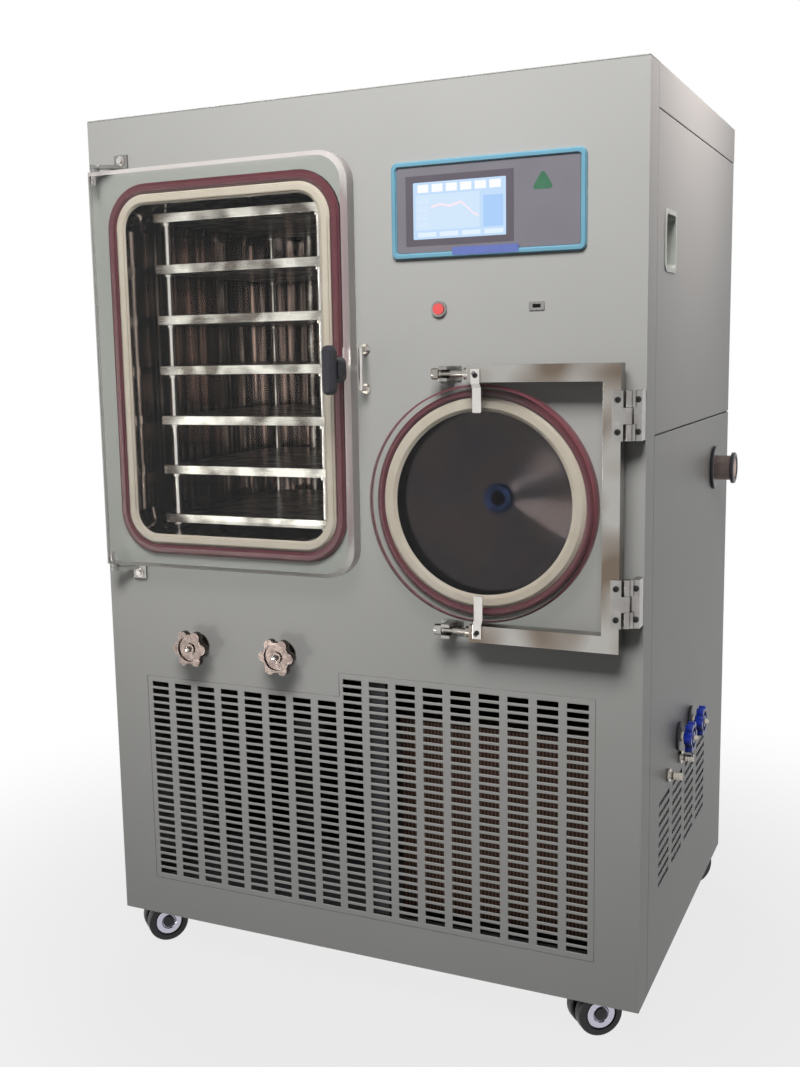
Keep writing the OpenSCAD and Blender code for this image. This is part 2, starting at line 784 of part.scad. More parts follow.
module chamber_shell() {
    front = flange_t - flange_proud;
    color("gainsboro") difference() {
        union() {
            facing(-flange_proud, flange_t) chamber_outline(seal_band);
            facing(front - cut, chamber_depth + vessel_back_t + cut) chamber_outline(vessel_t);
            // Stiffening bands over the top and sides
            for (i = [1 : 3]) intersection() {
                facing(front + i * chamber_depth / 4, band_t) chamber_outline(vessel_t + band_h);
                translate([0, 0, chamber_floor]) cube([cab_w, cab_d, chamber_h + 100]);
            }
            along_x(chamber_cx + chamber_w / 2, duct_y, trap_z, duct_d, duct_x - chamber_cx - chamber_w / 2);
            along_x(duct_x - duct_flange_t, duct_y, trap_z, duct_d + 2 * duct_flange_w,
                duct_flange_t - gap / 2);
        }
        facing(-flange_proud - cut, flange_t + chamber_depth + cut) chamber_outline(0);
        along_x(chamber_cx, duct_y, trap_z, duct_d - 2 * duct_t, duct_x - chamber_cx + cut);
    }
}

// A flat seal round the chamber opening with a narrower crown in front
module chamber_seal(inner, width) {
    crown = width * 0.18;
    facing(-flange_proud - seal_t * 0.6, seal_t * 0.6) difference() {
        chamber_outline(inner + width);
        chamber_outline(inner);
    }
    facing(-flange_proud - seal_t, seal_t * 0.4) difference() {
        chamber_outline(inner + width - crown);
        chamber_outline(inner + crown);
    }
}

module chamber_outer_seal() {
    color("brown") chamber_seal(inner_seal_w + seal_gap, outer_seal_w);
}

module chamber_inner_seal() {
    color("antiquewhite") chamber_seal(0, inner_seal_w);
}

// Size and spacing of the shelves
shelf_w = chamber_w - 2 * shelf_side_gap;
shelf_d = chamber_back - shelf_back_gap - shelf_y;
shelf_pitch = (chamber_h - shelf_low_z - shelf_high_gap) / (shelf_count - 1);
// Middle of shelf i above the floor, and the rods' places
function shelf_z(i) = chamber_floor + shelf_low_z + i * shelf_pitch;
rod_xs = [chamber_cx - shelf_w / 2 + rod_inset, chamber_cx + shelf_w / 2 - rod_inset];
rod_ys = [shelf_y + rod_inset, shelf_y + shelf_d - rod_inset];

module shelves() {
    color("lightgray") for (i = [0 : shelf_count - 1]) difference() {
        translate([chamber_cx - shelf_w / 2, shelf_y, shelf_z(i) - shelf_t / 2])
            cube([shelf_w, shelf_d, shelf_t]);
        for (x = rod_xs, y = rod_ys) translate([x, y, shelf_z(i) - shelf_t / 2 - cut])
            cylinder(d = rod_d + 2 * rod_clear, h = shelf_t + 2 * cut);
    }
}

module shelf_rack() {
    // The rails lie where the chamber's corners begin to rise
    into_corner = max(0, shelf_w / 2 - rod_inset + rod_d / 2 - (chamber_w / 2 - chamber_r));
    corner_rise = chamber_r - sqrt(chamber_r * chamber_r - into_corner * into_corner);
    low = chamber_floor + corner_rise + gap;
    rail_h = shelf_low_z - shelf_t / 2 - collar_h - corner_rise - 2 * gap;
    high = shelf_z(shelf_count - 1) + shelf_t / 2 + 2 * gap;
    color("silver") {
        for (x = rod_xs, y = rod_ys) {
            translate([x, y, low]) cylinder(d = rod_d, h = high + rail_h - low);
            for (i = [0 : shelf_count - 1])
                translate([x, y, shelf_z(i) - shelf_t / 2 - collar_h]) cylinder(d = collar_d, h = collar_h);
        }
        for (x = rod_xs, z = [low, high])
            translate([x - rod_d / 2, rod_ys[0], z]) cube([rod_d, rod_ys[1] - rod_ys[0], rail_h]);
        for (z = [low, high])
            translate([rod_xs[0], rod_ys[1] - rod_d / 2, z])
                cube([rod_xs[1] - rod_xs[0], rod_d, rail_h]);
    }
}

module shelf_manifolds() {
    y = chamber_back - manifold_d / 2 - 3;
    color("darkgray") for (side = [-1, 1]) {
        x = chamber_cx + side * shelf_w / 4;
        translate([x, y, shelf_z(0) - branch_d]) cylinder(d = manifold_d,
            h = shelf_z(shelf_count - 1) - shelf_z(0) + 2 * branch_d);
        along_y(x, y, shelf_z(0) + shelf_pitch / 2, manifold_d * 0.7, chamber_back - y);
        for (i = [0 : shelf_count - 1])
            along_y(x, shelf_y + shelf_d, shelf_z(i), branch_d, y - shelf_y - shelf_d);
    }
}

// ---------------------------------------------------------------- chamber door and its latch

module door_outline(grow) {
    x2 = door_x + door_w + grow;
    z1 = door_z1 - grow;
    z2 = door_z2 + grow;
    r = door_r + grow;
    translate([door_x - grow, z1]) square([door_w + 2 * grow - r, z2 - z1]);
    translate([door_x - grow, z1 + r]) square([door_w + 2 * grow, z2 - z1 - 2 * r]);
    for (z = [z1 + r, z2 - r]) translate([x2 - r, z]) circle(r);
}

module chamber_door() {
    bore = pivot_depth + 2;
    color("lightcyan", 0.5) difference() {
        union() {
            facing(-door_front + door_bevel, door_t - door_bevel) door_outline(0);
            hull() {
                facing(-door_front + door_bevel - 0.02, 0.02) door_outline(0, $fn = 32);
                facing(-door_front, 0.02) door_outline(-door_bevel, $fn = 32);
            }
        }
        for (z = [door_z1 - cut, door_z2 - bore])
            translate([pivot_x, pivot_y, z]) cylinder(d = pivot_d + 2 * run_clear, h = bore + cut);
        along_y(latch_x, -door_front - cut, latch_h, spindle_d + 2 * run_clear, door_t + 2 * cut);
    }
}

module door_pivots() {
    arm_r = 9;
    reach = door_x + foot_x + foot_w;
    color("silver") for (side = [-1, 1]) {
        edge = side > 0 ? door_z2 : door_z1;
        arm_z = edge + side * (arm_gap + arm_t / 2);
        // Arm round the pin, tapering back to the foot
        translate([0, 0, arm_z - arm_t / 2]) linear_extrude(arm_t) {
            translate([pivot_x, pivot_y]) circle(arm_r);
            polygon([[pivot_x - arm_r, pivot_y], [pivot_x, pivot_y - arm_r],
                [reach - foot_w / 2, -foot_t], [reach, -foot_t], [reach, 0],
                [reach - foot_w, 0], [pivot_x, pivot_y + arm_r]]);
        }
        translate([reach - foot_w, -foot_t, arm_z - (side > 0 ? arm_t / 2 : foot_h - arm_t / 2)])
            cube([foot_w, foot_t, foot_h]);
        translate([pivot_x, pivot_y, edge + side * (arm_gap - pivot_depth) / 2])
            cylinder(d = pivot_d, h = arm_gap + pivot_depth, center = true);
        translate([pivot_x, pivot_y, edge + side * (arm_gap + gap) / 2])
            cylinder(d = 14, h = arm_gap - gap, center = true);
    }
}

module latch_spindle() {
    color("silver") {
        along_y(latch_x, -grip_back + 2, latch_h, spindle_d, grip_back - 2 - tongue_gap);
        facing(-tongue_gap - tongue_t, tongue_t) translate([latch_x, latch_h]) {
            circle(d = spindle_d);
            translate([-tongue_w / 2, 0]) square([tongue_w, tongue_l - tongue_w / 2]);
            translate([0, tongue_l - tongue_w / 2]) circle(d = tongue_w);
        }
    }
}

module latch_knob() {
    crown = grip_crown;
    color("#262630") difference() {
        union() {
            facing(-grip_back, hub_h - gap) translate([latch_x, latch_h])
                rounded(hub_w, hub_l, hub_w / 2 - 0.1);
            facing(-grip_front + crown, grip_t - crown) translate([latch_x, latch_h])
                rounded(grip_w, grip_l, grip_w / 2 - 0.1);
            hull() {
                facing(-grip_front + crown - 0.02, 0.02) translate([latch_x, latch_h])
                    rounded(grip_w, grip_l, grip_w / 2 - 0.1, $fn = 32);
                facing(-grip_front, 0.02) translate([latch_x, latch_h])
                    rounded(grip_w - 2 * crown, grip_l - 2 * crown, grip_w / 2 - crown - 0.1, $fn = 32);
            }
        }
        along_y(latch_x, -grip_back + 2, latch_h, spindle_d + 2 * run_clear, hub_h);
    }
}

module latch_keeper() {
    r = keeper_d / 2;
    color("silver") {
        translate([keep_x, -keeper_reach, latch_h - keeper_h / 2 + r])
            cylinder(d = keeper_d, h = keeper_h - keeper_d);
        for (side = [-1, 1]) {
            z = latch_h + side * (keeper_h / 2 - r);
            translate([keep_x, -keeper_reach, z]) sphere(d = keeper_d);
            along_y(keep_x, -keeper_reach, z, keeper_d, keeper_reach);
            along_y(keep_x, -keeper_foot_t, z, keeper_d * 2, keeper_foot_t);
        }
    }
}

// ---------------------------------------------------------------- cold trap and its door

module trap_shell() {
    front = flange_t - flange_proud;
    foot_z = trap_z - trap_d / 2 - vessel_t;
    color("gainsboro") difference() {
        union() {
            along_y(trap_cx, -flange_proud, trap_z, trap_outer_seal_d, flange_t);
            along_y(trap_cx, front - cut, trap_z, trap_d + 2 * vessel_t,
                trap_depth + vessel_back_t + cut);
            for (side = [-1, 1])
                translate([trap_cx + side * trap_d / 4 - tube_w / 2, front + 60, foot_z])
                    cube([tube_w, trap_depth - 120, trap_d / 2]);
            along_x(duct_x + gap / 2, duct_y, trap_z, duct_d, trap_cx - trap_d / 2 - duct_x);
            along_x(duct_x + gap / 2, duct_y, trap_z, duct_d + 2 * duct_flange_w, duct_flange_t);
        }
        along_y(trap_cx, -flange_proud - cut, trap_z, trap_d, flange_t + trap_depth + cut);
        along_x(duct_x - cut, duct_y, trap_z, duct_d - 2 * duct_t, trap_cx - duct_x);
    }
    color("gainsboro") trap_baffle();
}

// Dished plate welded across the trap in front of the coil, with a ringed hole in its middle
module trap_baffle() {
    rim_r = trap_d / 2 + vessel_t / 2;
    hole_r = baffle_hole_d / 2;
    ring_r = baffle_ring_d / 2;
    slope = (baffle_mid_y - baffle_rim_y) / (rim_r - hole_r);
    ring_y = baffle_mid_y - slope * (ring_r - hole_r);
    translate([trap_cx, 0, trap_z]) rotate([-90, 0, 0]) rotate_extrude() polygon([
        [hole_r, baffle_mid_y + baffle_t], [rim_r, baffle_rim_y + baffle_t], [rim_r, baffle_rim_y],
        [ring_r, ring_y], [ring_r - 2, ring_y - baffle_ring_h], [hole_r, ring_y - baffle_ring_h]]);
}

// A flat round seal with a narrower crown in front
module trap_seal(d1, d2) {
    crown = (d2 - d1) * 0.18;
    for (part = [[0, 0.6, 0], [0.6, 0.4, crown]]) difference() {
        along_y(trap_cx, -flange_proud - seal_t * (part[0] + part[1]), trap_z,
            d2 - part[2], seal_t * part[1]);
        along_y(trap_cx, -flange_proud - seal_t - cut, trap_z, d1 + part[2], seal_t + 2 * cut);
    }
}

module trap_outer_seal() {
    color("brown") trap_seal(trap_inner_seal_d + 2 * seal_gap, trap_outer_seal_d);
}

module trap_inner_seal() {
    color("antiquewhite") trap_seal(trap_d, trap_inner_seal_d);
}

module trap_coil() {
    r = trap_d / 2 - coil_gap - coil_tube_d / 2;
    y1 = coil_y;
    header_d = coil_tube_d * 1.4;
    color("silver") {
        for (i = [0 : coil_turns - 1])
            translate([trap_cx, y1 + i * coil_pitch, trap_z]) rotate([90, 0, 0])
                rotate_extrude() translate([r, 0]) circle(d = coil_tube_d);
        for (a = [100, 220, 340]) {
            x = trap_cx + r * cos(a);
            z = trap_z + r * sin(a);
            along_y(x, y1 - coil_tube_d, z, header_d, (coil_turns - 1) * coil_pitch + 2 * coil_tube_d);
            for (y = [y1 + coil_pitch / 2, y1 + (coil_turns - 1.5) * coil_pitch])
                translate([x, y, z]) rotate([0, 90 - a, 0])
                    cylinder(d = coil_tube_d * 0.8, h = coil_tube_d / 2 + coil_gap - gap);
        }
    }
}

// Depth of the yoke's middle and of its front, ends of its bars
yoke_mid = -(yoke_gap + yoke_t / 2);
yoke_front = yoke_gap + yoke_t;
yoke_x1 = trap_cx - yoke_left;
yoke_inner_h = disc_d + 2 * yoke_clear_z;
bolt_z = yoke_inner_h / 2 + yoke_w / 2;
bolt_head_l = 12;
catch_x = yoke_x1 - bolt_l + bolt_head_l + 2;

module yoke_frame() {
    color("lightgray") {
        facing(-yoke_front, yoke_t) difference() {
            translate([yoke_x1, trap_z - yoke_inner_h / 2 - yoke_w])
                square([yoke_x2 - yoke_x1, yoke_inner_h + 2 * yoke_w]);
            translate([yoke_x1 - cut, trap_z - yoke_inner_h / 2])
                square([yoke_x2 - yoke_w - yoke_x1 + cut, yoke_inner_h]);
        }
        for (side = [-1, 1]) {
            along_x(yoke_x1 - bolt_l, yoke_mid, trap_z + side * bolt_z, bolt_d, bolt_l + 1);
            along_x(yoke_x1 - bolt_l, yoke_mid, trap_z + side * bolt_z, bolt_head_d, bolt_head_l);
            along_x(yoke_x1 - 8, yoke_mid, trap_z + side * bolt_z, bolt_head_d, 9);
        }
    }
}

module yoke_catches() {
    half = bolt_d / 2 + catch_clear;
    color("silver") for (side = [-1, 1]) {
        z = trap_z + side * bolt_z;
        siding(catch_x, catch_w) difference() {
            translate([-yoke_front, z - half - 5]) square([yoke_front, 2 * half + 10]);
            translate([yoke_mid, z]) circle(half);
            translate([-yoke_front - cut, z - half]) square([yoke_front + yoke_mid + cut, 2 * half]);
        }
        translate([catch_x - 10, -3, z - half - 5]) cube([catch_w + 20, 3, 2 * half + 10]);
    }
}

module round_door() {
    bevel = 3;
    r = disc_d / 2;
    color("lightcyan", 0.5) translate([trap_cx, -door_gap, trap_z]) rotate([90, 0, 0]) rotate_extrude()
        polygon([[0, 0], [r - 1, 0], [r, 1], [r, disc_t - bevel], [r - bevel, disc_t], [0, disc_t]]);
}

module disc_clips() {
    over = door_gap + disc_t + gap;
    r = disc_d / 2;
    inner = yoke_inner_h / 2;
    color("silver") for (side = [-1, 1])
        translate([trap_cx - clip_w / 2, 0, trap_z]) mirror([0, 0, side > 0 ? 0 : 1])
            rotate([90, 0, 90]) linear_extrude(clip_w) polygon([
                [-yoke_front, inner + 20], [-yoke_front - clip_t, inner + 20],
                [-yoke_front - clip_t, inner - 1.5], [-over - clip_t, r - 5],
                [-over - clip_t, r - clip_reach], [-over, r - clip_reach],
                [-over, r - 4], [-yoke_front, inner]]);
}

// One hinge leaf: the shape is drawn in x and -y round the hinge axis
module hinge_barrels(top_and_bottom) {
    third = hinge_h / 3;
    for (i = top_and_bottom ? [0, 2] : [1])
        translate([0, 0, -hinge_h / 2 + i * third + gap / 2]) linear_extrude(third - gap) children();
}

module hinge_fixed_leaves() {
    color("silver") for (z = hinge_zs) translate([hinge_x, 0, z]) {
        translate([barrel_d / 2 + 1, -hinge_reach + 4, -hinge_h / 2])
            cube([hinge_inset - barrel_d / 2 - 1.5, hinge_reach - 4, hinge_h]);
        hinge_barrels(true) translate([0, -hinge_reach]) {
            circle(d = barrel_d);
            square([barrel_d / 2 + 4, barrel_d / 2]);
        }
        translate([0, -hinge_reach, -hinge_h / 2 + gap / 2])
            cylinder(d = hinge_pin_d, h = hinge_h - gap);
    }
}

module hinge_moving_leaves() {
    t = leaf_t;
    color("silver") for (z = hinge_zs) translate([hinge_x, 0, z]) {
        translate([-21, -yoke_front - t, -hinge_h / 2]) cube([16, t, hinge_h]);
        difference() {
            hinge_barrels(false) {
                translate([0, -hinge_reach]) circle(d = barrel_d);
                polygon([[-9, -yoke_front], [-9, -yoke_front - t], [-5, -yoke_front - t],
                    [0, -hinge_reach - barrel_d / 2 + 0.4], [-barrel_d / 2 + 0.4, -hinge_reach]]);
            }
            translate([0, -hinge_reach, -hinge_h / 2])
                cylinder(d = hinge_pin_d + 2 * run_clear, h = hinge_h);
        }
    }
}

// ---------------------------------------------------------------- control panel, button, socket

// Middle of the control panel, and of the screen
module panel_place() {
    translate([panel_x + panel_w / 2, panel_z + panel_h / 2]) children();
}
module screen_place() {
    translate([panel_x + screen_x + screen_w / 2, panel_z + panel_h - screen_top - screen_h / 2])
        children();
}

module control_bezel() {
    color("#6fa3bb") {
        facing(-bezel_t * 0.6, bezel_t * 0.6) panel_place() difference() {
            rounded(panel_w, panel_h, bezel_r);
            rounded(panel_w - 2 * bezel_w, panel_h - 2 * bezel_w, 4);
        }
        facing(-bezel_t, bezel_t * 0.4) panel_place() difference() {
            rounded(panel_w - 3, panel_h - 3, bezel_r - 1.5);
            rounded(panel_w - 2 * bezel_w + 3, panel_h - 2 * bezel_w + 3, 5.5);
        }
    }
}

module control_overlay() {
    color("#87848c") facing(-overlay_t, overlay_t) difference() {
        panel_place() rounded(panel_w - 2 * bezel_w - 2 * gap, panel_h - 2 * bezel_w - 2 * gap, 4);
        screen_place() rounded(screen_w + 2 * gap, screen_h + 2 * gap, 2 + gap);
    }
}

module touchscreen() {
    color("#5d8fc4") {
        facing(-overlay_t + 0.5, overlay_t + 1) screen_place() rounded(screen_w, screen_h, 2);
        facing(1, screen_depth) screen_place() rounded(screen_w - 4, screen_h - 4, 3);
    }
}

module button_bezel() {
    color("silver") difference() {
        union() {
            along_y(button_x, -4, button_h, button_bezel_d, 4);
            along_y(button_x, -cut, button_h, button_bezel_d - 6, 28);
        }
        along_y(button_x, -4 - cut, button_h, button_d + 0.4, 4 + cut);
        along_y(button_x, -cut, button_h, button_d / 2 + 2 * run_clear, 26);
    }
}

module button_cap() {
    color("#d8504e") {
        along_y(button_x, -button_travel - gap - 3.2, button_h, button_d, 3.2);
        along_y(button_x, -button_travel - gap - 1, button_h, button_d / 2, 20);
    }
}

module data_socket() {
    color("#30323a") difference() {
        union() {
            facing(-1.6, 1.6) translate([socket_x, button_h]) rounded(socket_w, socket_h, 2);
            facing(-1, 19) translate([socket_x, button_h])
                square([socket_w - 7, socket_h - 5], center = true);
        }
        facing(-1.6 - cut, 13) translate([socket_x, button_h])
            square([socket_w - 11.5, socket_h - 7.5], center = true);
    }
}

// ---------------------------------------------------------------- valves and handwheels

// Body of a valve mounted through a panel whose outer face is at y = 0
module valve_body(rose, bonnet_d, bonnet_l, inner_l) {
    difference() {
        union() {
            if (rose > 0) along_y(0, -3, 0, rose, 3);
            along_y(0, -bonnet_l, 0, bonnet_d, bonnet_l);
            along_y(0, -cut, 0, stem_d + 6, inner_l);
            along_y(0, sheet_t + 8, 0, bonnet_d + 8, inner_l - 20);
            translate([0, inner_l / 2 + 8, -35]) cylinder(d = 18, h = 70);
        }
        along_y(0, -bonnet_l - cut, 0, stem_d + 2 * run_clear, bonnet_l + 12 + cut);
    }
}

// A lobed handwheel with its stem, in front of a panel whose outer face is at y = 0
module handwheel(d, stand, lobes) {
    lobe = d * 0.14;
    difference() {
        union() {
            facing(-stand - wheel_t, wheel_t) {
                circle(d = d * 0.78);
                for (i = [0 : lobes - 1]) rotate(i * 360 / lobes) translate([d / 2 - lobe, 0]) circle(lobe);
            }
            along_y(0, -stand - cut, 0, stem_d + 8, 4 + cut);
            along_y(0, -stand - cut, 0, stem_d, stand + 10);
        }
        // Dished front face round a raised hub
        difference() {
            along_y(0, -stand - wheel_t - cut, 0, d * 0.66, 3 + cut);
            along_y(0, -stand - wheel_t - 2 * cut, 0, stem_d + 10, 3 + 3 * cut);
        }
    }
}

module front_valve_bodies() {
    color("silver") for (x = [vent_x, drain_x])
        translate([x, 0, base_z + valve_z]) valve_body(44, 22, wheel_stand - 6, 60);
}

module vent_handwheel() {
    color("gainsboro") translate([vent_x, 0, base_z + valve_z]) handwheel(wheel_d, wheel_stand, 6);
}

module drain_handwheel() {
    color("gainsboro") translate([drain_x, 0, base_z + valve_z]) handwheel(wheel_d, wheel_stand, 6);
}

// Carries a fitting drawn for a front panel onto the right side
module on_side(y, z) {
    translate([cab_w, y, base_z + z]) rotate([0, 0, 90]) children();
}

// Depth of hose outlet i behind the front face
function outlet_y(i) = side_valve_y - 90 + i * side_valve_pitch;

module side_valve_bodies() {
    color("goldenrod") {
        for (i = [0, 1]) on_side(side_valve_y + i * side_valve_pitch, side_valve_z)
            valve_body(0, stem_d + 7, side_wheel_stand - 4.5, 50);
        for (i = [0, 1]) on_side(outlet_y(i), outlet_z) difference() {
            union() {
                along_y(0, -24, 0, outlet_d, 60);
                along_y(0, -5, 0, outlet_d + 10, 5);
                for (k = [0 : 2]) translate([0, -11 - 4 * k, 0]) rotate([90, 0, 0])
                    cylinder(d1 = outlet_d + 2, d2 = outlet_d, h = 4);
            }
            along_y(0, -24 - cut, 0, outlet_bore, 60 + 2 * cut);
        }
    }
}

module side_handwheel_front() {
    color("#1a2a7a") on_side(side_valve_y, side_valve_z) handwheel(side_wheel_d, side_wheel_stand, 6);
}

module side_handwheel_rear() {
    color("#1a2a7a") on_side(side_valve_y + side_valve_pitch, side_valve_z)
        handwheel(side_wheel_d, side_wheel_stand, 6);
}

module panel_grommets() {
    color("#202024") {
        on_side(port_y, port_z) difference() {
            along_y(0, -6, 0, grommet_d, 6);
            along_y(0, -6 - cut, 0, port_tube_d + 2 * gap, 6 + 2 * cut);
        }
        for (i = [0, 1]) on_side(side_valve_y + i * side_valve_pitch, side_valve_z) difference() {
            along_y(0, -5, 0, rose_d, 5);
            along_y(0, -5 - cut, 0, stem_d + 7 + 2 * gap, 5 + 2 * cut);
        }
    }
}

module vacuum_port() {
    flange = 6;
    color("#8d6b4a") on_side(port_y, port_z) difference() {
        union() {
            along_y(0, -port_reach + 1, 0, port_tube_d, port_reach + 60);
            along_y(0, -port_reach, 0, port_flange_d, flange / 2);
            translate([0, -port_reach + flange / 2, 0]) rotate([-90, 0, 0])
                cylinder(d1 = port_flange_d, d2 = port_tube_d, h = flange / 2);
        }
        along_y(0, -port_reach - cut, 0, port_bore, port_reach + 61 + 2 * cut);
    }
}

// ---------------------------------------------------------------- machinery behind the panels

machine_z = frame_z + floor_t;

module compressors() {
    foot_h = 14;
    foot_d = 24;
    plate_t = 5;
    plate_r = comp_d / 2 + 10;
    dome_h = 35;
    can_h = comp_h - foot_h - dome_h;
    color("#1c1c1e") for (i = [0, 1]) translate([comp_x + i * comp_pitch, cab_d - comp_back, machine_z]) {
        for (a = [45 : 90 : 315]) rotate(a) translate([plate_r - 16, 0, 0])
            cylinder(d = foot_d, h = foot_h + 1);
        translate([0, 0, foot_h]) {
            cylinder(r = plate_r, h = plate_t);
            cylinder(d = comp_d, h = can_h);
            // Weld seam between the two halves of the can
            translate([0, 0, can_h * 0.8]) cylinder(d = comp_d + 8, h = 9);
            translate([0, 0, can_h - 1]) cylinder(d1 = comp_d - 14, d2 = comp_d * 0.6, h = dome_h + 1);
        }
    }
}

// Left side of the finned coil; its end plates stand on the floor and the shroud behind them
fin_x = mid_post_x + tube_w + fin_gap + 4;
fin_lift = 44;
end_t = 4;
end_d = fin_d + 8;
shroud_y = fin_y + end_d - 4 + gap;
shroud_h = fin_lift + fin_h + 5;

module finned_coil() {
    color("#b87333") {
        translate([fin_x, fin_y, machine_z + fin_lift]) cube([fin_w, fin_d, fin_h]);
        for (x = [fin_x - end_t, fin_x + fin_w])
            translate([x, fin_y - 4, machine_z]) cube([end_t, end_d, shroud_h + 1]);
    }
}

fan_x = fin_x + fin_w / 2;
fan_z = machine_z + fin_lift + fin_h / 2;
fan_bore = 12;
ring_w = 6;
ring_l = 40;
hub_y = shroud_y + 8;
blade_y = shroud_y + 21;

module fan_shroud() {
    arm_w = 10;
    arm_y = shroud_y + ring_l - 2;
    color("#3a3a3e") difference() {
        union() {
            translate([fan_x - shroud_w / 2, shroud_y, machine_z]) cube([shroud_w, 4, shroud_h]);
            along_y(fan_x, shroud_y, fan_z, fan_d + 2 * ring_w, ring_l);
            // Motor, carried by four arms
            along_y(fan_x, shroud_y + 48, fan_z, 90, 60);
            for (a = [0, 90]) translate([fan_x, 0, fan_z]) rotate([0, a, 0])
                translate([-fan_d / 2 - ring_w, arm_y, -arm_w / 2])
                    cube([fan_d + 2 * ring_w, arm_w + cut, arm_w]);
        }
        along_y(fan_x, shroud_y - 10, fan_z, fan_d, ring_l + 8);
        along_y(fan_x, shroud_y + 30, fan_z, fan_bore + 2 * run_clear, ring_l);
    }
}

module fan_rotor() {
    rotor_d = 70;
    blade_t = 3;
    blade_w = 64;
    color("#2a2a2c") {
        along_y(fan_x, hub_y, fan_z, rotor_d, 26);
        along_y(fan_x, shroud_y + 30, fan_z, fan_bore, 30);
        for (i = [0 : fan_blades - 1])
            translate([fan_x, blade_y, fan_z]) rotate([0, i * 360 / fan_blades, 0]) rotate([0, 0, 28])
                translate([-blade_w / 2, -blade_t / 2, rotor_d / 2 - 10])
                    cube([blade_w, blade_t, fan_d / 2 - rotor_d / 2]);
    }
}

module electrical_box() {
    lid_t = 4;
    lid_over = 4;
    strap_h = 40;
    back = cab_d - skin - tube_w - gap - lid_t;
    x = mid_post_x + tube_w + box_gap;
    z = top_z - tube_w - box_h - box_drop;
    color("#d9d9d4") {
        translate([x, back - box_d, z]) cube([box_w, box_d + 1, box_h]);
        translate([x - lid_over, back - box_d - lid_t, z - lid_over])
            cube([box_w + 2 * lid_over, lid_t, box_h + 2 * lid_over]);
        // Straps that hang it on the rear posts
        for (edge = [z, z + box_h - strap_h])
            translate([mid_post_x, back, edge]) cube([cab_w - lip_w - gap - mid_post_x, lid_t, strap_h]);
    }
}

module fluid_tank() {
    x = mid_post_x + tube_w + tank_gap;
    y = cab_d - tank_back - tank_d;
    pump_l = 56;
    neck_d = 60;
    color("#c9ccce") {
        translate([x, y, machine_z]) cube([tank_w, tank_d, tank_h]);
        along_y(x + tank_w / 4, y - pump_l + 1, machine_z + pump_d / 2 + 15, pump_d, pump_l);
        translate([x + tank_w * 0.65, y + tank_d / 2, machine_z + tank_h - 1])
            cylinder(d = neck_d, h = 24);
    }
}

gland_z = base_z + gland_lift;

module cable_gland() {
    color("#202024") difference() {
        union() {
            along_y(gland_x, cab_d - 20, gland_z, gland_d, 20 + gland_reach);
            along_y(gland_x, cab_d, gland_z, gland_d + 12, 7, $fn = 6);
            along_y(gland_x, cab_d + gland_reach - 10, gland_z, gland_d + 6, 10);
        }
        along_y(gland_x, cab_d - 20 - cut, gland_z, gland_d - 10, 20 + gland_reach + 2 * cut);
    }
}

// ---------------------------------------------------------------- casters

// Carries a caster drawn at the origin to its corner, turned the way it faces
module at_caster(i) {
    translate([caster_ends[i][0], caster_ends[i][1], 0]) rotate([0, 0, caster_turns[i]]) children();
}

race_h = 10;
race_z = caster_h - caster_plate_t - race_h;

module caster_plates() {
    color("#3c3c40") for (i = [0 : 3]) at_caster(i) {
        rotate([0, 0, -caster_turns[i]])
            translate([-caster_plate_w / 2, -caster_plate_w / 2, caster_h - caster_plate_t])
                cube([caster_plate_w, caster_plate_w, caster_plate_t]);
        translate([0, 0, race_z]) cylinder(d = race_d, h = race_h + 1);
    }
}

// Swivelling body of a twin-wheel caster; the axle runs along y and trails towards -x
module caster_body(i) {
    z0 = caster_d / 2;
    top = race_z - gap;
    color("#1e1e22") at_caster(i) {
        translate([0, 0, top - 4]) cylinder(d = race_d, h = 4);
        facing(-web_t / 2, web_t) {
            translate([-trail, z0]) circle(r = 15);
            translate([-trail, z0]) square([trail + 9, 15]);
            translate([-15, z0]) square([24, top - z0 - 2]);
        }
        along_y(-trail, -web_t / 2 - tread_w + 2, z0, axle_d, web_t + 2 * tread_w - 4);
    }
}

// The two wheels of a caster
module caster_wheels(i) {
    r = caster_d / 2;
    soft = 4;
    color("#18181c") at_caster(i) for (side = [-1, 1])
        translate([-trail, side * (web_t / 2 + gap), r]) rotate([-side * 90, 0, 0]) difference() {
            rotate_extrude() {
                square([r - soft, tread_w]);
                translate([0, soft]) square([r, tread_w - 2 * soft]);
                for (y = [soft, tread_w - soft]) translate([r - soft, y]) circle(soft);
            }
            translate([0, 0, -cut]) cylinder(d = axle_d + 2 * run_clear, h = tread_w - 2 + cut);
            // Dished face between the tyre and the hub cap
            translate([0, 0, tread_w - 2.5]) difference() {
                cylinder(r = r * 0.7, h = 3);
                translate([0, 0, -cut]) cylinder(r = r * 0.26, h = 3 + 2 * cut);
            }
        }
}

placed() base_frame();
placed() caster_plates();
placed() front_panel();
placed() vent_grille();
placed() left_panel();
placed() right_upper_panel();
placed() right_lower_panel();
placed() rear_panel();
placed() top_cover();
placed() side_pull();
placed() chamber_shell();
placed() chamber_outer_seal();
placed() chamber_inner_seal();
placed() shelves();
placed() shelf_rack();
placed() shelf_manifolds();
placed() door_pivots();
placed() latch_keeper();
placed() trap_shell();
placed() trap_outer_seal();
placed() trap_inner_seal();
placed() trap_coil();
placed() yoke_catches();
placed() hinge_fixed_leaves();
placed() control_bezel();
placed() control_overlay();
placed() touchscreen();
placed() button_bezel();
placed() data_socket();
placed() front_valve_bodies();
placed() compressors();
placed() finned_coil();
placed() fan_shroud();
placed() fan_rotor();
placed() electrical_box();
placed() fluid_tank();
placed() vacuum_port();
placed() panel_grommets();
placed() side_valve_bodies();
placed() cable_gland();
placed() chamber_door();
placed() latch_spindle();
placed() latch_knob();
placed() round_door();
placed() yoke_frame();
placed() disc_clips();
placed() hinge_moving_leaves();
placed() button_cap();
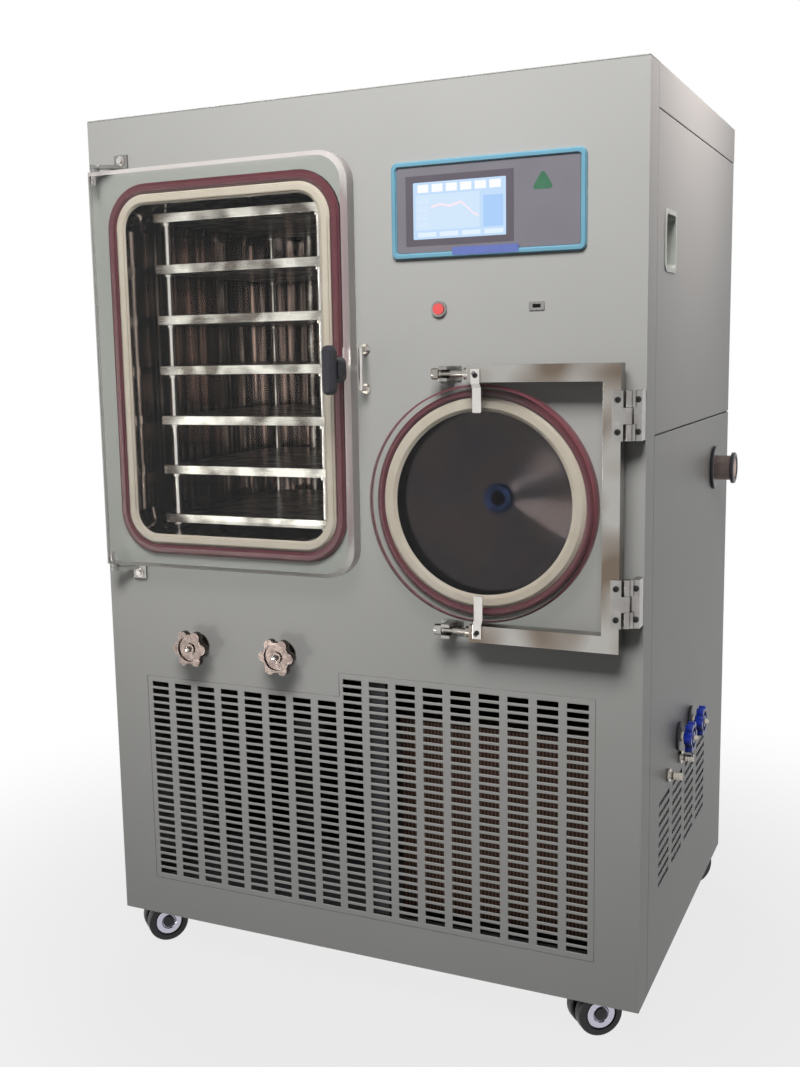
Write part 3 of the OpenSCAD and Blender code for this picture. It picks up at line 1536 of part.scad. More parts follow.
placed() vent_handwheel();
placed() drain_handwheel();
placed() side_handwheel_front();
placed() side_handwheel_rear();
placed() caster_body(0);  // caster_fl
placed() caster_body(1);  // caster_fr
placed() caster_body(2);  // caster_bl
placed() caster_body(3);  // caster_br
placed() caster_wheels(0);  // wheels_fl
placed() caster_wheels(1);  // wheels_fr
placed() caster_wheels(2);  // wheels_bl
placed() caster_wheels(3);  // wheels_br
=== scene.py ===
import json
import math

import bmesh
import bpy
from mathutils import Matrix, Vector


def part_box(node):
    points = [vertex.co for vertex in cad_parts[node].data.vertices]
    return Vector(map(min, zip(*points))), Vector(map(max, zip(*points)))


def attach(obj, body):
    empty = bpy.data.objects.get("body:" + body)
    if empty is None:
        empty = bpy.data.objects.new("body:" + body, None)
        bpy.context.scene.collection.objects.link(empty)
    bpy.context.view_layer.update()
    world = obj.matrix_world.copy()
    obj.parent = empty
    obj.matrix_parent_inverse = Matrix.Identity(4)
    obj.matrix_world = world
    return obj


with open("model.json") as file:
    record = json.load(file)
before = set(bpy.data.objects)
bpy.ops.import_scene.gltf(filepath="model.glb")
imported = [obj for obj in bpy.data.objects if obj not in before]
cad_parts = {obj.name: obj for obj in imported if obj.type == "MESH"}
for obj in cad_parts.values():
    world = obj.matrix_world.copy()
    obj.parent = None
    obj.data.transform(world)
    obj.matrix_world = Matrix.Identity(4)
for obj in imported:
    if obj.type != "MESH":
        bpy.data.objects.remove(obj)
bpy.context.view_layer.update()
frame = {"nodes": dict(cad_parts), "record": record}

# ---------------------------------------------------------------- camera and studio
# A white room with a pale floor. Soft lamps hang high in front, on the right and behind. Two small
# strips on the left, like windows, show only as reflections in paint, metal and acrylic.
# The camera stands right of the machine at chest height and looks slightly down at it.
stand = Vector((0.8574, -2.1264, 1.0990))
across = Vector((0.9009, 0.4335, -0.0219))
upward = Vector((-0.0447, 0.1427, 0.9888))
ahead = Vector((-0.4317, 0.8898, -0.1479))
camera = bpy.data.objects.new("camera", bpy.data.cameras.new("camera"))
camera.matrix_world = Matrix((
    (across.x, upward.x, -ahead.x, stand.x),
    (across.y, upward.y, -ahead.y, stand.y),
    (across.z, upward.z, -ahead.z, stand.z),
    (0, 0, 0, 1)))
camera.data.lens = 41.92
camera.data.shift_x = 0.0454
camera.data.shift_y = -0.0008
bpy.context.scene.collection.objects.link(camera)
bpy.context.scene.camera = camera
bpy.context.scene.view_settings.view_transform = "Standard"


def linear(hex_colour):
    """The linear colour that an sRGB hex value stands for."""
    shares = [int(hex_colour[i:i + 2], 16) / 255 for i in (1, 3, 5)]
    return [s / 12.92 if s <= 0.04045 else ((s + 0.055) / 1.055) ** 2.4 for s in shares] + [1.0]


def add(tree, kind, sockets=None, **settings):
    """Adds one node with its settings; a socket gets a plain value or a link."""
    node = tree.nodes.new(kind)
    for name, value in settings.items():
        setattr(node, name, value)
    for name, value in (sockets or {}).items():
        if isinstance(value, bpy.types.NodeSocket):
            tree.links.new(value, node.inputs[name])
        else:
            node.inputs[name].default_value = value
    return node


def seen_directly(tree):
    """1 for what is seen, directly or in metal and glass; 0 for light that falls on things."""
    path = add(tree, "ShaderNodeLightPath")
    either = add(tree, "ShaderNodeMath", {
        0: path.outputs["Is Camera Ray"], 1: path.outputs["Is Glossy Ray"]}, operation="ADD")
    every = add(tree, "ShaderNodeMath", {
        0: either.outputs[0], 1: path.outputs["Is Transmission Ray"]},
        operation="ADD", use_clamp=True)
    not_lighting = add(tree, "ShaderNodeMath", {
        0: path.outputs["Diffuse Depth"], 1: 0.5}, operation="LESS_THAN")
    seen = add(tree, "ShaderNodeMath", {
        0: every.outputs[0], 1: not_lighting.outputs[0]}, operation="MULTIPLY")
    return seen.outputs[0]


world = bpy.data.worlds.new("studio")
bpy.context.scene.world = world
world.use_nodes = True
world.node_tree.nodes.clear()
soft_fill = add(world.node_tree, "ShaderNodeBackground", {
    "Color": linear("#f4f4f6"), "Strength": 0.065})
white_surround = add(world.node_tree, "ShaderNodeBackground", {
    "Color": linear("#ffffff"), "Strength": 1.0})
surround = add(world.node_tree, "ShaderNodeMixShader", {
    0: seen_directly(world.node_tree), 1: soft_fill.outputs[0], 2: white_surround.outputs[0]})
add(world.node_tree, "ShaderNodeOutputWorld", {0: surround.outputs[0]})


def soft_lamp(name, place, target, width, height, watts, colour, beam=180, lights="all"):
    """A soft box facing its target. It lights all, or matt surfaces only, or shows in gloss."""
    lamp = bpy.data.lights.new(name, "AREA")
    lamp.shape, lamp.size, lamp.size_y = "RECTANGLE", width, height
    lamp.energy, lamp.color, lamp.spread = watts, linear(colour)[:3], math.radians(beam)
    box = bpy.data.objects.new(name, lamp)
    box.location = place
    box.rotation_euler = (Vector(target) - Vector(place)).to_track_quat("-Z", "Y").to_euler()
    box.visible_diffuse = lights != "gloss"
    box.visible_glossy = box.visible_transmission = lights != "matt"
    bpy.context.scene.collection.objects.link(box)


front_top, right_top, back_middle = (0.1, -0.33, 1.52), (0.46, 0.0, 1.80), (-0.25, 0.2, 0.8)
front_middle = (0.2, -0.35, 0.86)
soft_lamp("front_lamp", (0.3, -1.9, 2.95), front_top, 1.6, 1.0, 25, "#fdfcfb", beam=88,
          lights="matt")
soft_lamp("right_lamp", (1.4, 0.0, 2.4), right_top, 0.5, 0.5, 4.0, "#fff3f0", beam=46)
soft_lamp("rear_lamp", (-1.5, 2.5, 2.5), back_middle, 1.6, 1.6, 30, "#fdfcfb", beam=90)
soft_lamp("left_strip", (-2.0, -1.8, 0.8), front_middle, 0.2, 0.6, 10, "#fbf6ec", lights="gloss")
soft_lamp("low_strip", (-1.31, -2.30, 0.12), front_middle, 0.35, 0.1, 7, "#fbf9f4", lights="gloss")

# The floor is matt and takes the machine's shadow. Seen directly it turns white: by four fifths
# within half a metre of the middle, and fully from 1.6 m on.
floor_reach = 40
corners = [(-floor_reach, -floor_reach, 0), (floor_reach, -floor_reach, 0),
           (floor_reach, floor_reach, 0), (-floor_reach, floor_reach, 0)]
floor_mesh = bpy.data.meshes.new("floor")
floor_mesh.from_pydata(corners, [], [(0, 1, 2, 3)])
floor = bpy.data.objects.new("floor", floor_mesh)
bpy.context.scene.collection.objects.link(floor)
pale_floor = bpy.data.materials.new("pale_floor")
pale_floor.use_nodes = True
tree = pale_floor.node_tree
tree.nodes.clear()
matt = add(tree, "ShaderNodeBsdfDiffuse", {"Color": linear("#5c5c5c")})
white = add(tree, "ShaderNodeEmission", {"Color": linear("#ffffff"), "Strength": 1.0})
from_middle = add(tree, "ShaderNodeVectorMath", {
    0: add(tree, "ShaderNodeTexCoord").outputs["Object"]}, operation="LENGTH")
whiteness = add(tree, "ShaderNodeMapRange", {
    "Value": from_middle.outputs["Value"], "From Min": 0.5, "From Max": 1.6,
    "To Min": 0.8, "To Max": 1.0}, interpolation_type="SMOOTHSTEP")
kept_shadow = add(tree, "ShaderNodeMath", {
    0: seen_directly(tree), 1: whiteness.outputs[0]}, operation="MULTIPLY")
floor_shader = add(tree, "ShaderNodeMixShader", {
    0: kept_shadow.outputs[0], 1: matt.outputs[0], 2: white.outputs[0]})
add(tree, "ShaderNodeOutputMaterial", {0: floor_shader.outputs[0]})
floor_mesh.materials.append(pale_floor)


# ---------------------------------------------------------------- cabinet sheets
# Bent mild-steel sheets, 2 mm thick, hung on the frame: front, sides, rear, top and vent grille.
# They carry a satin grey polyester powder coat, sprayed on dry and baked.
def new_finish(name, roughness=0.5, metallic=0.0):
    """A finish with one shader, and the place on the piece that its patterns are drawn from."""
    finish = bpy.data.materials.new(name)
    finish.use_nodes = True
    shader = finish.node_tree.nodes["Principled BSDF"]
    shader.inputs["Roughness"].default_value = roughness
    shader.inputs["Metallic"].default_value = metallic
    place = add(finish.node_tree, "ShaderNodeTexCoord").outputs["Object"]
    return finish, finish.node_tree, shader, place


def mottle(tree, shader, place, light, dark, patch_mm):
    """Broad, faint patches between two close colours, each about patch_mm wide."""
    patches = add(tree, "ShaderNodeTexNoise", {
        "Vector": place, "Scale": 1000 / patch_mm, "Detail": 3.0})
    blend = add(tree, "ShaderNodeMix", {
        0: patches.outputs["Fac"], 6: linear(dark), 7: linear(light)}, data_type="RGBA")
    tree.links.new(blend.outputs[2], shader.inputs["Base Color"])


def texture(tree, shader, place, grain_mm, depth_mm, smooth, rough):
    """Fine surface texture of one size and depth, which also scatters the gloss a little."""
    grain = add(tree, "ShaderNodeTexNoise", {
        "Vector": place, "Scale": 1000 / grain_mm, "Detail": 2.0})
    relief = add(tree, "ShaderNodeBump", {
        "Height": grain.outputs["Fac"], "Distance": depth_mm / 1000})
    tree.links.new(relief.outputs[0], shader.inputs["Normal"])
    gloss = add(tree, "ShaderNodeMapRange", {
        "Value": grain.outputs["Fac"], "To Min": smooth, "To Max": rough})
    tree.links.new(gloss.outputs[0], shader.inputs["Roughness"])


def surfaced(name, light, dark, patch_mm, grain_mm, depth_mm, smooth, rough, metallic=0.0):
    """A finish with patches of two tones, and over them a grain between smooth and rough."""
    finish, tree, shader, place = new_finish(name, metallic=metallic)
    mottle(tree, shader, place, light, dark, patch_mm)
    texture(tree, shader, place, grain_mm, depth_mm, smooth, rough)
    return finish


def coat(finish, *names, edge_mm=0.0):
    """Gives CAD nodes a finish in place of their plain one, and breaks their sharp edges."""
    for name in names:
        node = frame["nodes"][name]
        node.data.materials.clear()
        node.data.materials.append(finish)
        if edge_mm:
            weld = node.modifiers.new("weld", "WELD")
            weld.merge_threshold = 0.00002
            rounding = node.modifiers.new("edge", "BEVEL")
            rounding.width, rounding.segments = edge_mm / 1000, 2
            rounding.limit_method, rounding.angle_limit = "ANGLE", math.radians(40)
            rounding.use_clamp_overlap = True


# The coat's orange peel, some 2.4 mm from dimple to dimple, softens every highlight to a satin.
powder_coat = surfaced("grey_powder_coat", "#b0b0ae", "#a7a7a4", 260, 2.4, 0.03, 0.38, 0.5)
coat(powder_coat, "vent_grille", "left_panel", "right_upper_panel", "rear_panel", "top_cover",
     edge_mm=0.7)
coat(powder_coat, "front_panel", "right_lower_panel")

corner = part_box("front_panel")[0]


def at(x, y, z):
    """The point x mm right of, y mm behind and z mm above the front panel's lower left corner."""
    return corner + Vector((x, y, z)) / 1000


def middle(node):
    """The middle of a CAD node's box."""
    low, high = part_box(node)
    return (low + high) / 2


# ---------------------------------------------------------------- rear panel screws
# The rear panel comes off for service: eight round-headed machine screws hold it, four a side.
# Each is a turned steel head with a hexagon socket sunk in it.
def make(name, points, faces, finish, body, slot):
    """A piece from points in metres and its faces, smooth where it is round, riding on a body."""
    mesh = bpy.data.meshes.new(name)
    mesh.from_pydata([tuple(point) for point in points], [], faces)
    cleaned = bmesh.new()
    cleaned.from_mesh(mesh)
    bmesh.ops.remove_doubles(cleaned, verts=cleaned.verts, dist=0.000001)
    bmesh.ops.recalc_face_normals(cleaned, faces=cleaned.faces)
    cleaned.to_mesh(mesh)
    cleaned.free()
    mesh.shade_smooth()
    mesh.set_sharp_from_angle(angle=math.radians(35))
    mesh.materials.append(finish)
    piece = bpy.data.objects.new(name, mesh)
    bpy.context.scene.collection.objects.link(piece)
    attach(piece, body)


def turned(outline, place, axis, around=32, hollow=False):
    """Points and faces of a turned part; its outline is radii and places on its axis, in mm."""
    turn = Vector(axis).to_track_quat("Z", "Y")
    points, faces = [], []
    for radius, reach in outline:
        for i in range(around):
            angle = 2 * math.pi * i / around
            spot = Vector((radius * math.cos(angle), radius * math.sin(angle), reach)) / 1000
            points.append(Vector(place) + turn @ spot)
    rings = len(outline)
    for ring in range(rings if hollow else rings - 1):
        for i in range(around):
            j = (i + 1) % around
            a, b = ring * around, (ring + 1) % rings * around
            faces.append((a + i, a + j, b + j, b + i))
    if not hollow:
        faces.append(tuple(range(around)))
        faces.append(tuple(range((rings - 1) * around, rings * around)))
    return points, faces


def gather(parts):
    """Several lots of points and faces as one lot."""
    points, faces = [], []
    for some_points, some_faces in parts:
        faces += [tuple(i + len(points) for i in face) for face in some_faces]
        points += some_points
    return points, faces


def screw_head(place, axis, head_mm):
    """A domed head seated at a place, with its socket."""
    r = head_mm / 2
    dome = [(r, 0), (r, r * 0.25), (r * 0.86, r * 0.62), (r * 0.62, r * 0.78), (r * 0.45, r * 0.8)]
    return turned(dome + [(r * 0.45, r * 0.3)], place, axis, 18)


# Black oxide on steel: nearly black, with the dull gleam of oiled metal on the domes.
black_oxide, tree, shader, place = new_finish("black_oxide_steel", metallic=0.6)
shader.inputs["Base Color"].default_value = linear("#2a2a2c")
texture(tree, shader, place, 0.6, 0.01, 0.3, 0.45)

rear_low, rear_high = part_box("rear_panel")
screw_inset, rear_head_mm = 0.014, 9
screw_span = rear_high.z - rear_low.z - 2 * screw_inset
rear_screws = [screw_head((x, rear_high.y, rear_low.z + screw_inset + screw_span * share),
                          (0, 1, 0), rear_head_mm)
               for x in (rear_low.x + screw_inset, rear_high.x - screw_inset)
               for share in (0, 0.33, 0.67, 1)]
make("rear_panel_screws", *gather(rear_screws), black_oxide, "cabinet", "frame_steel")

# ---------------------------------------------------------------- recessed pull
# An injection-moulded ABS cup, snapped into the upper side sheet from outside.
# The pale plastic is a little smoother than the paint round it and slightly green beside it.
pale_abs = surfaced("pale_moulded_abs", "#ced3cc", "#bcc1ba", 30, 1.0, 0.02, 0.3, 0.42)
coat(pale_abs, "side_pull", edge_mm=0.5)

# ---------------------------------------------------------------- frame
# Welded square steel tube under the sheets, with a floor plate across the bottom.
# Brushed with dark grey primer, which stays matt and slightly uneven.
primer = surfaced("dark_primer", "#4d4e50", "#3e3f41", 60, 3.0, 0.05, 0.55, 0.72)
coat(primer, "base_frame")

# ---------------------------------------------------------------- drying chamber
# A box vessel welded from stainless sheet and polished inside, so its walls mirror the shelves.
# Its flange stands just proud of the front sheet and carries the two seals.
# The upright polishing strokes, some 13 mm wide, vary its gloss. Streaks of the same size in its
# colour, from dark to pale pink, are painted reflections of the rods and the room.
streak_w_mm, streak_l_mm = 13, 400
mirror_steel, tree, shader, place = new_finish("polished_stainless_wall", metallic=1.0)
upright = add(tree, "ShaderNodeMapping", {
    "Vector": place, "Scale": (1000 / streak_w_mm, 1000 / streak_w_mm, 1000 / streak_l_mm)})
polish_and_painted_streaks = add(tree, "ShaderNodeTexNoise", {
    "Vector": upright.outputs[0], "Scale": 1.0, "Detail": 1.0})
contrast = add(tree, "ShaderNodeMapRange", {
    "Value": polish_and_painted_streaks.outputs["Fac"], "From Min": 0.42, "From Max": 0.7})
# Painted reflections: the streaks run from dark to pale pink in the wall's colour.
tone = add(tree, "ShaderNodeMix", {
    0: contrast.outputs[0], 6: linear("#2b2728"), 7: linear("#efdcd2")}, data_type="RGBA")
tree.links.new(tone.outputs[2], shader.inputs["Base Color"])
sheen = add(tree, "ShaderNodeMapRange", {
    "Value": polish_and_painted_streaks.outputs["Fac"], "To Min": 0.05, "To Max": 0.16})
tree.links.new(sheen.outputs[0], shader.inputs["Roughness"])
coat(mirror_steel, "chamber_shell", edge_mm=0.5)

# ---------------------------------------------------------------- shelves
# Hollow stainless plates that a heat-transfer fluid runs through, ground with a fine grain along
# their width. Patches some 45 mm long, from grey to nearly white, are painted highlight and shade
# in their colour.
grain_l_mm, grain_w_mm, glint_patch_mm = 40, 0.8, 45
ground_steel, tree, shader, place = new_finish("ground_stainless", metallic=1.0)
stretched = add(tree, "ShaderNodeMapping", {
    "Vector": place, "Scale": (1000 / grain_l_mm, 1000 / grain_w_mm, 1000 / grain_w_mm)})
scratches = add(tree, "ShaderNodeTexNoise", {
    "Vector": stretched.outputs[0], "Scale": 1.0, "Detail": 2.0})
relief = add(tree, "ShaderNodeBump", {"Height": scratches.outputs["Fac"], "Distance": 0.000012})
tree.links.new(relief.outputs[0], shader.inputs["Normal"])
sheen = add(tree, "ShaderNodeMapRange", {
    "Value": scratches.outputs["Fac"], "To Min": 0.18, "To Max": 0.34})
tree.links.new(sheen.outputs[0], shader.inputs["Roughness"])
painted_glints = add(tree, "ShaderNodeTexNoise", {"Vector": place, "Scale": 1000 / glint_patch_mm, "Detail": 1.0})
glint_and_shade_patches = add(tree, "ShaderNodeMapRange", {
    "Value": painted_glints.outputs["Fac"], "From Min": 0.34, "From Max": 0.62})
# Painted highlight and shade: patches from grey to nearly white.
tone = add(tree, "ShaderNodeMix", {
    0: glint_and_shade_patches.outputs[0], 6: linear("#6f6963"), 7: linear("#dedad3")}, data_type="RGBA")
tree.links.new(tone.outputs[2], shader.inputs["Base Color"])
coat(ground_steel, "shelves", "shelf_manifolds", edge_mm=0.6)

# The rods and collars that carry the shelves are stainless bar, turned and then buffed bright.
# Buffing leaves a soft mirror: clear light and dark bands along every rod.
bright_steel = surfaced("buffed_stainless", "#dedad6", "#c6c1bb", 25, 1.6, 0.004, 0.1, 0.22,
                        metallic=1.0)
coat(bright_steel, "shelf_rack", edge_mm=0.5)

# ---------------------------------------------------------------- seals
# Silicone cords bonded to the flanges of chamber and trap: a firm dark red one outside and a soft
# cream one inside. Silicone is smooth but never shiny: its round back shows one broad highlight.
burgundy = surfaced("burgundy_silicone", "#682e39", "#55222b", 40, 1.2, 0.02, 0.34, 0.5)
coat(burgundy, "chamber_outer_seal", "trap_outer_seal", edge_mm=2.0)
cream = surfaced("soft_cream_silicone", "#e0d4c8", "#cbbbac", 40, 1.2, 0.02, 0.38, 0.52)
coat(cream, "chamber_inner_seal", "trap_inner_seal", edge_mm=2.0)


# ---------------------------------------------------------------- chamber door
# One cast acrylic sheet, 32 mm thick, that turns on two steel pins at its left edge. Its faces are
# polished; its sawn edges and the bevel round its front are only sanded, so they look milky.
def clear(name, painted_edge_colour):
    """Clear cast acrylic, with milky sanded edges; their colour is a painted reflection of what
    lies behind.
    """
    finish, tree, shader, _ = new_finish(name)
    shader.inputs["IOR"].default_value = 1.49
    # The mirror of the white room in it is kept weak, so that what lies behind it stays clear.
    shader.inputs["Specular IOR Level"].default_value = 0.1
    shader.inputs["Specular Tint"].default_value = linear("#7c7c7c")
    facing = add(tree, "ShaderNodeSeparateXYZ", {
        0: add(tree, "ShaderNodeTexCoord").outputs["Normal"]}).outputs["Y"]
    flat = add(tree, "ShaderNodeMath", {0: facing}, operation="ABSOLUTE")
    sanded = add(tree, "ShaderNodeMath", {0: flat.outputs[0], 1: 0.93}, operation="LESS_THAN")
    gloss = add(tree, "ShaderNodeMapRange", {
        "Value": sanded.outputs[0], "To Min": 0.01, "To Max": 0.42})
    tree.links.new(gloss.outputs[0], shader.inputs["Roughness"])
    clearness = add(tree, "ShaderNodeMapRange", {
        "Value": sanded.outputs[0], "To Min": 1.0, "To Max": 0.72})
    tree.links.new(clearness.outputs[0], shader.inputs["Transmission Weight"])
    # Painted reflection: the sanded edges take the given colour of what lies behind them.
    tone = add(tree, "ShaderNodeMix", {
        0: sanded.outputs[0], 6: linear("#fdfefd"), 7: linear(painted_edge_colour)}, data_type="RGBA")
    tree.links.new(tone.outputs[2], shader.inputs["Base Color"])
    # Light on its way to a surface behind the sheet passes straight through.
    through = add(tree, "ShaderNodeBsdfTransparent", {"Color": linear("#f5f7f5")})
    rays = add(tree, "ShaderNodeLightPath")
    lighting = add(tree, "ShaderNodeMath", {
        0: rays.outputs["Is Shadow Ray"], 1: rays.outputs["Is Diffuse Ray"]},
        operation="ADD", use_clamp=True)
    both = add(tree, "ShaderNodeMixShader", {
        0: lighting.outputs[0], 1: shader.outputs[0], 2: through.outputs[0]})
    tree.links.new(both.outputs[0], tree.nodes["Material Output"].inputs[0])
    return finish


# The door's sanded edges are painted pinkish white, a painted reflection of the seals behind them.
coat(clear("cast_acrylic_sheet", "#ece4e3"), "chamber_door")

# Its two pivot brackets are zinc-plated sheet, each held to the front sheet by a hexagon bolt.
# Old zinc is dull and blotchy, greyer than the stainless bolt on it.
zinc = surfaced("dull_zinc_plate", "#979795", "#7c7b79", 12, 1.2, 0.01, 0.36, 0.52, metallic=0.7)
coat(zinc, "door_pivots", edge_mm=0.5)


def hexagon_bolt(place, axis, across_mm):
    """A hexagon head, across_mm over its flats, on its washer."""
    washer_mm, point_r = 1.2, across_mm * 0.577
    washer = turned([(across_mm * 0.8, 0), (across_mm * 0.8, washer_mm),
                     (across_mm * 0.4, washer_mm)], place, axis, 28)
    seat = Vector(place) + Vector(axis) * washer_mm / 1000
    head = turned([(point_r, 0), (point_r, across_mm * 0.36), (across_mm * 0.5, across_mm * 0.45)],
                  seat, axis, 6)
    return gather([washer, head])


forward = (0, -1, 0)
pivot_low, pivot_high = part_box("door_pivots")
bolt_x, bracket_front, bolt_inset = pivot_high.x - 0.013, corner.y - 0.004, 0.010
pivot_bolts = [hexagon_bolt((bolt_x, bracket_front, z), forward, 10)
               for z in (pivot_low.z + bolt_inset, pivot_high.z - bolt_inset)]
make("pivot_bolts", *gather(pivot_bolts), bright_steel, "cabinet", "polished_steel")

# ---------------------------------------------------------------- latch
# A moulded ABS knob on a buffed steel spindle through the door; its tongue turns behind the keeper
# bar. The black plastic has a faint moulded grain that spreads its highlight.
black_abs = surfaced("black_moulded_abs", "#23232c", "#191921", 20, 0.8, 0.02, 0.26, 0.44)
coat(black_abs, "latch_knob", edge_mm=1.0)
coat(bright_steel, "latch_keeper", "latch_spindle", edge_mm=0.5)

# ---------------------------------------------------------------- cold trap
# A spun stainless pot behind the front sheet, with a refrigerated coil in it. The dished plate
# across it is turned on a lathe, and its fine circular marks throw the light back in bright fans.
spun_steel, tree, shader, place = new_finish("spun_stainless", metallic=1.0)
shader.inputs["Anisotropic"].default_value = 0.9
trap_axis = middle("trap_outer_seal")
from_axis = add(tree, "ShaderNodeVectorMath", {
    0: place, 1: tuple(trap_axis)}, operation="SUBTRACT")
flattened = add(tree, "ShaderNodeVectorMath", {
    0: from_axis.outputs[0], 1: (1.0, 0.0, 1.0)}, operation="MULTIPLY")
outward = add(tree, "ShaderNodeVectorMath", {0: flattened.outputs[0]}, operation="NORMALIZE")
tree.links.new(outward.outputs[0], shader.inputs["Tangent"])
stain_mm = 70
stain = add(tree, "ShaderNodeTexNoise", {"Vector": place, "Scale": 1000 / stain_mm, "Detail": 1.0})
uneven = add(tree, "ShaderNodeMapRange", {
    "Value": stain.outputs["Fac"], "To Min": 0.21, "To Max": 0.27})
tree.links.new(uneven.outputs[0], shader.inputs["Roughness"])
tone = add(tree, "ShaderNodeMix", {
    0: stain.outputs["Fac"], 6: linear("#2a2b31"), 7: linear("#423835")}, data_type="RGBA")
# The turning tool left faint rings, under a millimetre apart. They are drawn 7 mm apart, so that
# they show from a few steps away. A wave texture of scale 1 repeats every 1000 / 3.18 mm.
ring_mm, wave_scale = 7, 1000 / 3.18
rings = add(tree, "ShaderNodeTexWave", {
    "Vector": from_axis.outputs[0], "Scale": wave_scale / ring_mm, "Distortion": 0.4},
    wave_type="RINGS", rings_direction="Y")
turning = add(tree, "ShaderNodeMapRange", {
    "Value": rings.outputs["Fac"], "To Min": 0.72, "To Max": 1.1})
ringed = add(tree, "ShaderNodeVectorMath", {
    0: tone.outputs[2], 1: turning.outputs[0]}, operation="MULTIPLY")
# The raised ring round the hole in the middle is painted dark blue out to 25 mm or so: painted
# shade that stands for the shading which shows the ring.
reach = add(tree, "ShaderNodeVectorMath", {0: flattened.outputs[0]}, operation="LENGTH")
painted_ring_shade = add(tree, "ShaderNodeMapRange", {
    "Value": reach.outputs["Value"], "From Min": 0.0225, "From Max": 0.0275,
    "To Min": 1.0, "To Max": 0.0})
with_painted_ring_shade = add(tree, "ShaderNodeMix", {
    0: painted_ring_shade.outputs[0], 6: ringed.outputs[0], 7: linear("#18223c")}, data_type="RGBA")
tree.links.new(with_painted_ring_shade.outputs[2], shader.inputs["Base Color"])
coat(spun_steel, "trap_shell", edge_mm=0.5)
coat(ground_steel, "trap_coil")

# ---------------------------------------------------------------- round door, yoke and hinges
# An acrylic disc hangs in a square yoke of stainless bar; the red on its sanded edge is a painted
# reflection of the seal behind it. Bright clips hold the disc, two butt hinges and two catches hold
# the yoke.
coat(clear("cast_acrylic_disc", "#a8646e"), "round_door")
coat(bright_steel, "disc_clips", edge_mm=0.5)

# The bar is ground along its length and buffed: fine lines in it, and darker brown patches in its
# colour, some 95 mm long.
line_l_mm, line_w_mm, bar_patch_mm = 60, 1.2, 95
yoke_steel, tree, shader, place = new_finish("buffed_stainless_bar", metallic=1.0)
stretched = add(tree, "ShaderNodeMapping", {
    "Vector": place, "Scale": (1000 / line_l_mm, 1000 / line_w_mm, 1000 / line_l_mm)})
scratches = add(tree, "ShaderNodeTexNoise", {
    "Vector": stretched.outputs[0], "Scale": 1.0, "Detail": 2.0})
relief = add(tree, "ShaderNodeBump", {"Height": scratches.outputs["Fac"], "Distance": 0.00002})
tree.links.new(relief.outputs[0], shader.inputs["Normal"])
sheen = add(tree, "ShaderNodeMapRange", {
    "Value": scratches.outputs["Fac"], "To Min": 0.12, "To Max": 0.3})
tree.links.new(sheen.outputs[0], shader.inputs["Roughness"])
bar_blotches = add(tree, "ShaderNodeTexNoise", {
    "Vector": place, "Scale": 1000 / bar_patch_mm, "Detail": 1.0})
patches = add(tree, "ShaderNodeMapRange", {
    "Value": bar_blotches.outputs["Fac"], "From Min": 0.36, "From Max": 0.64})
tone = add(tree, "ShaderNodeMix", {
    0: patches.outputs[0], 6: linear("#75685c"), 7: linear("#adaba6")}, data_type="RGBA")
tree.links.new(tone.outputs[2], shader.inputs["Base Color"])
coat(yoke_steel, "yoke_frame", edge_mm=1.2)

# Hinge leaves and catches are pressed from stainless sheet, duller than the bar and unpolished.
pressed_steel = surfaced("pressed_stainless", "#b4b2af", "#787470", 22, 1.6, 0.006, 0.24, 0.38,
                         metallic=1.0)
coat(pressed_steel, "hinge_fixed_leaves", "hinge_moving_leaves", "yoke_catches", edge_mm=0.5)

# Black socket screws: four in each pair of leaves, two in each catch, one in each clip, and one in
# each level bar of the yoke.
yoke_low, yoke_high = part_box("yoke_frame")
fixed_low, fixed_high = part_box("hinge_fixed_leaves")
moving_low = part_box("hinge_moving_leaves")[0]
clip_low, clip_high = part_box("disc_clips")
catch_low, catch_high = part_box("yoke_catches")
leaf_height, hole_step = 0.072, 0.023
leaf_rows = [z + step for z in (fixed_low.z + leaf_height / 2, fixed_high.z - leaf_height / 2)
             for step in (-hole_step, hole_step)]
fixed_screws = [screw_head((fixed_high.x - 0.0055, fixed_low.y + 0.010, z), forward, 9)
                for z in leaf_rows]
moving_screws = [screw_head((moving_low.x + 0.008, moving_low.y, z), forward, 9)
                 for z in leaf_rows]
clip_x, clip_inset = (clip_low.x + clip_high.x) / 2, 0.0095
clip_screws = [screw_head((clip_x, clip_low.y, z), forward, 8)
               for z in (clip_low.z + clip_inset, clip_high.z - clip_inset)]
bar_x, bar_middle = yoke_low.x + 0.072, 0.013
bar_screws = [screw_head((bar_x, yoke_low.y, z), forward, 9)
              for z in (yoke_low.z + bar_middle, yoke_high.z - bar_middle)]
catch_front, foot_inset, foot_height = corner.y - 0.003, 0.005, 0.011
catch_screws = [screw_head((x, catch_front, z), forward, 7)
                for x in (catch_low.x + foot_inset, catch_high.x - foot_inset)
                for z in (catch_low.z + foot_height, catch_high.z - foot_height)]
make("fixed_leaf_screws", *gather(fixed_screws), black_oxide, "cabinet", "frame_steel")
make("catch_screws", *gather(catch_screws), black_oxide, "cabinet", "frame_steel")
make("moving_leaf_screws", *gather(moving_screws + clip_screws + bar_screws), black_oxide,
     "trap_door", "frame_steel")

# ---------------------------------------------------------------- control panel
# A moulded ABS bezel round a printed film overlay, with a lit liquid-crystal screen in it. The
# bezel is a satin sky blue with a fine moulded grain.
blue_abs = surfaced("sky_blue_abs", "#75a8be", "#6497ac", 60, 1.0, 0.02, 0.34, 0.46)
coat(blue_abs, "control_bezel", edge_mm=1.0)

# The overlay is polyester film, printed grey on its back: flat, smooth and only half glossy.
overlay = surfaced("printed_overlay_film", "#7c7a82", "#716e76", 60, 0.8, 0.01, 0.36, 0.48)
coat(overlay, "control_overlay", edge_mm=0.3)


